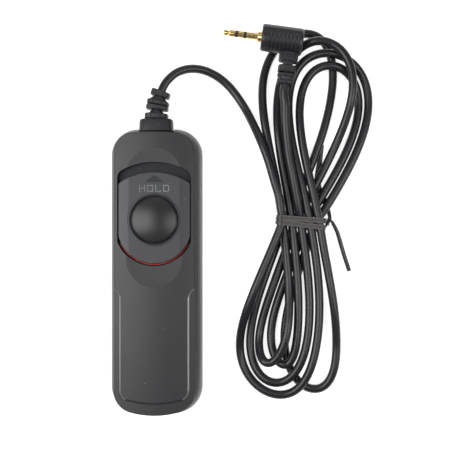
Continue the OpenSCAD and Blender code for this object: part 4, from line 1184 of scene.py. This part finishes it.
def make_tie():
    """Two turns round the waist, two tails and three strands of the twisted knot."""
    half_turn = pi
    pieces = [make_band(-1.05, -0.2), make_band(1.05, 0.25)]
    pieces.append(make_tail(
        [(KNOT_X - 0.6, 1.05, 3.6), (KNOT_X + 0.5, 1.9, 4.3), (KNOT_X + 1.5, 2.0, 3.6),
         (12.4, 0.6, 3.0), (14.4, -2.4, 1.9), (16.5, -7.2, 0.95), (18.4, -11.8, 0.62),
         (20.6, -16.8, 0.5)],
        [1.5, 1.3, 1.2, 1.3, 1.5, 1.6, 1.6, 1.5],
        [(0.0, 0.42, 2 * half_turn), (0.6, 1.0, 0.35)]))
    pieces.append(make_tail(
        [(KNOT_X - 0.6, -1.05, 3.4), (KNOT_X + 0.8, 0.0, 2.9), (KNOT_X + 1.5, 1.8, 2.3),
         (KNOT_X + 1.0, 4.6, 1.0), (9.2, 8.0, 0.45), (6.9, 11.6, 0.42), (5.5, 14.6, 0.4),
         (5.3, 20, 0.38), (5.5, 25, 0.38), (5.8, 30.2, 0.4)],
        [1.4, 1.2, 1.3, 1.5, 2.2, 2.7, 2.7, 2.3, 1.8, 1.4], [(0.0, 0.28, half_turn)], 7))
    for k in range(3):
        a = k * 2 * pi / 3
        pieces.append(make_tail(
            [(KNOT_X - 0.2 + 0.2 * k, 0.9 * cos(a), 3.7 + 0.8 * sin(a)),
             (KNOT_X + 0.5, 0.4 + 0.9 * cos(a + 1.8), 3.7 + 0.9 * sin(a + 1.8)),
             (KNOT_X + 1.1, 0.9 + 0.8 * cos(a + 3.4), 3.5 + 0.8 * sin(a + 3.4))],
            [0.9, 1.1, 0.9], [(0.0, 1.0, half_turn)], 6))
    made = merge("tie", pieces)
    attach(made, "handset")
    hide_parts("twist_tie")
    return made


tie = make_tie()


# ---- finishes of the plain nodes
FINISHES = {
    "case_screws keeper_screws contact_screws clamp_screws": screw_steel,
    "button_clip button_spring": spring_steel,
    "slider_keeper lower_spacer upper_spacer contact_cap": natural_plastic,
    "contact_base cord_clamp": inner_plastic,
    "full_press_leaf half_press_leaf common_leaf": leaf_brass,
    "common_wire": wire_red, "half_press_wire": wire_white, "full_press_wire": wire_black,
}
for names, finish in FINISHES.items():
    for name in names.split():
        NODES[name].data.materials.clear()
        NODES[name].data.materials.append(finish)


# ---- table, light and view
TABLE_HALF, TABLE_Z = 900, -0.18
PAPER, GLOW, ROOM_LIGHT = 0.8, 0.8, 0.16
LIGHTS_AIM = (27, 16, 8)
SOFTBOXES = (  # name, place and size in millimetres, watts
    ("left softbox", (-210, 10, 330), (250, 380), 1.2),
    ("right softbox", (260, -20, 330), (200, 340), 0.65),
    ("far softbox", (40, 420, 330), (420, 220), 0.25),
)


def rays_of(tree, *kinds):
    """1 for rays of the named kinds and 0 for all others."""
    paths = node(tree, "LightPath").outputs
    made = paths[kinds[0]]
    for kind in kinds[1:]:
        made = maths(tree, "MAXIMUM", made, paths[kind])
    return made


def make_table():
    """Pale table that lights the object as plain paper and looks white itself."""
    made, tree = new_material("pale table")
    seen = rays_of(tree, "Is Camera Ray", "Is Glossy Ray", "Is Transmission Ray")
    paper = node(tree, "BsdfDiffuse", Color=(PAPER, PAPER, PAPER, 1)).outputs[0]
    glow = node(tree, "Emission", Strength=GLOW).outputs[0]
    both = fed(tree, "AddShader", paper, glow)
    pick = fed(tree, "MixShader", seen, paper, both)
    node(tree, "OutputMaterial", Surface=pick)
    corners = at(box(-TABLE_HALF, -TABLE_HALF, TABLE_HALF, TABLE_HALF), TABLE_Z)
    new_piece("table", corners, [(0, 1, 2, 3)], made)


def make_room():
    """White surroundings, with a soft even light on the object."""
    world = bpy.data.worlds.new("white room")
    bpy.context.scene.world = world
    world.use_nodes = True
    tree = world.node_tree
    tree.nodes.clear()
    seen = rays_of(tree, "Is Camera Ray", "Is Transmission Ray")
    soft = node(tree, "Background", Strength=ROOM_LIGHT).outputs[0]
    white = node(tree, "Background", Strength=1.0).outputs[0]
    pick = fed(tree, "MixShader", seen, soft, white)
    node(tree, "OutputWorld", Surface=pick)


def area_light(name, spot, size, power):
    data = bpy.data.lights.new(name, "AREA")
    data.shape = "RECTANGLE"
    data.size, data.size_y = size[0] * MM, size[1] * MM
    data.energy = power
    made = add_object(name, data)
    made.location = Vector(spot) * MM
    back = (Vector(spot) - Vector(LIGHTS_AIM)).normalized()
    made.rotation_mode = "QUATERNION"
    made.rotation_quaternion = back.to_track_quat("Z", "Y")


make_table()
make_room()
for softbox in SOFTBOXES:
    area_light(*softbox)
bpy.context.scene.view_settings.view_transform = "Standard"
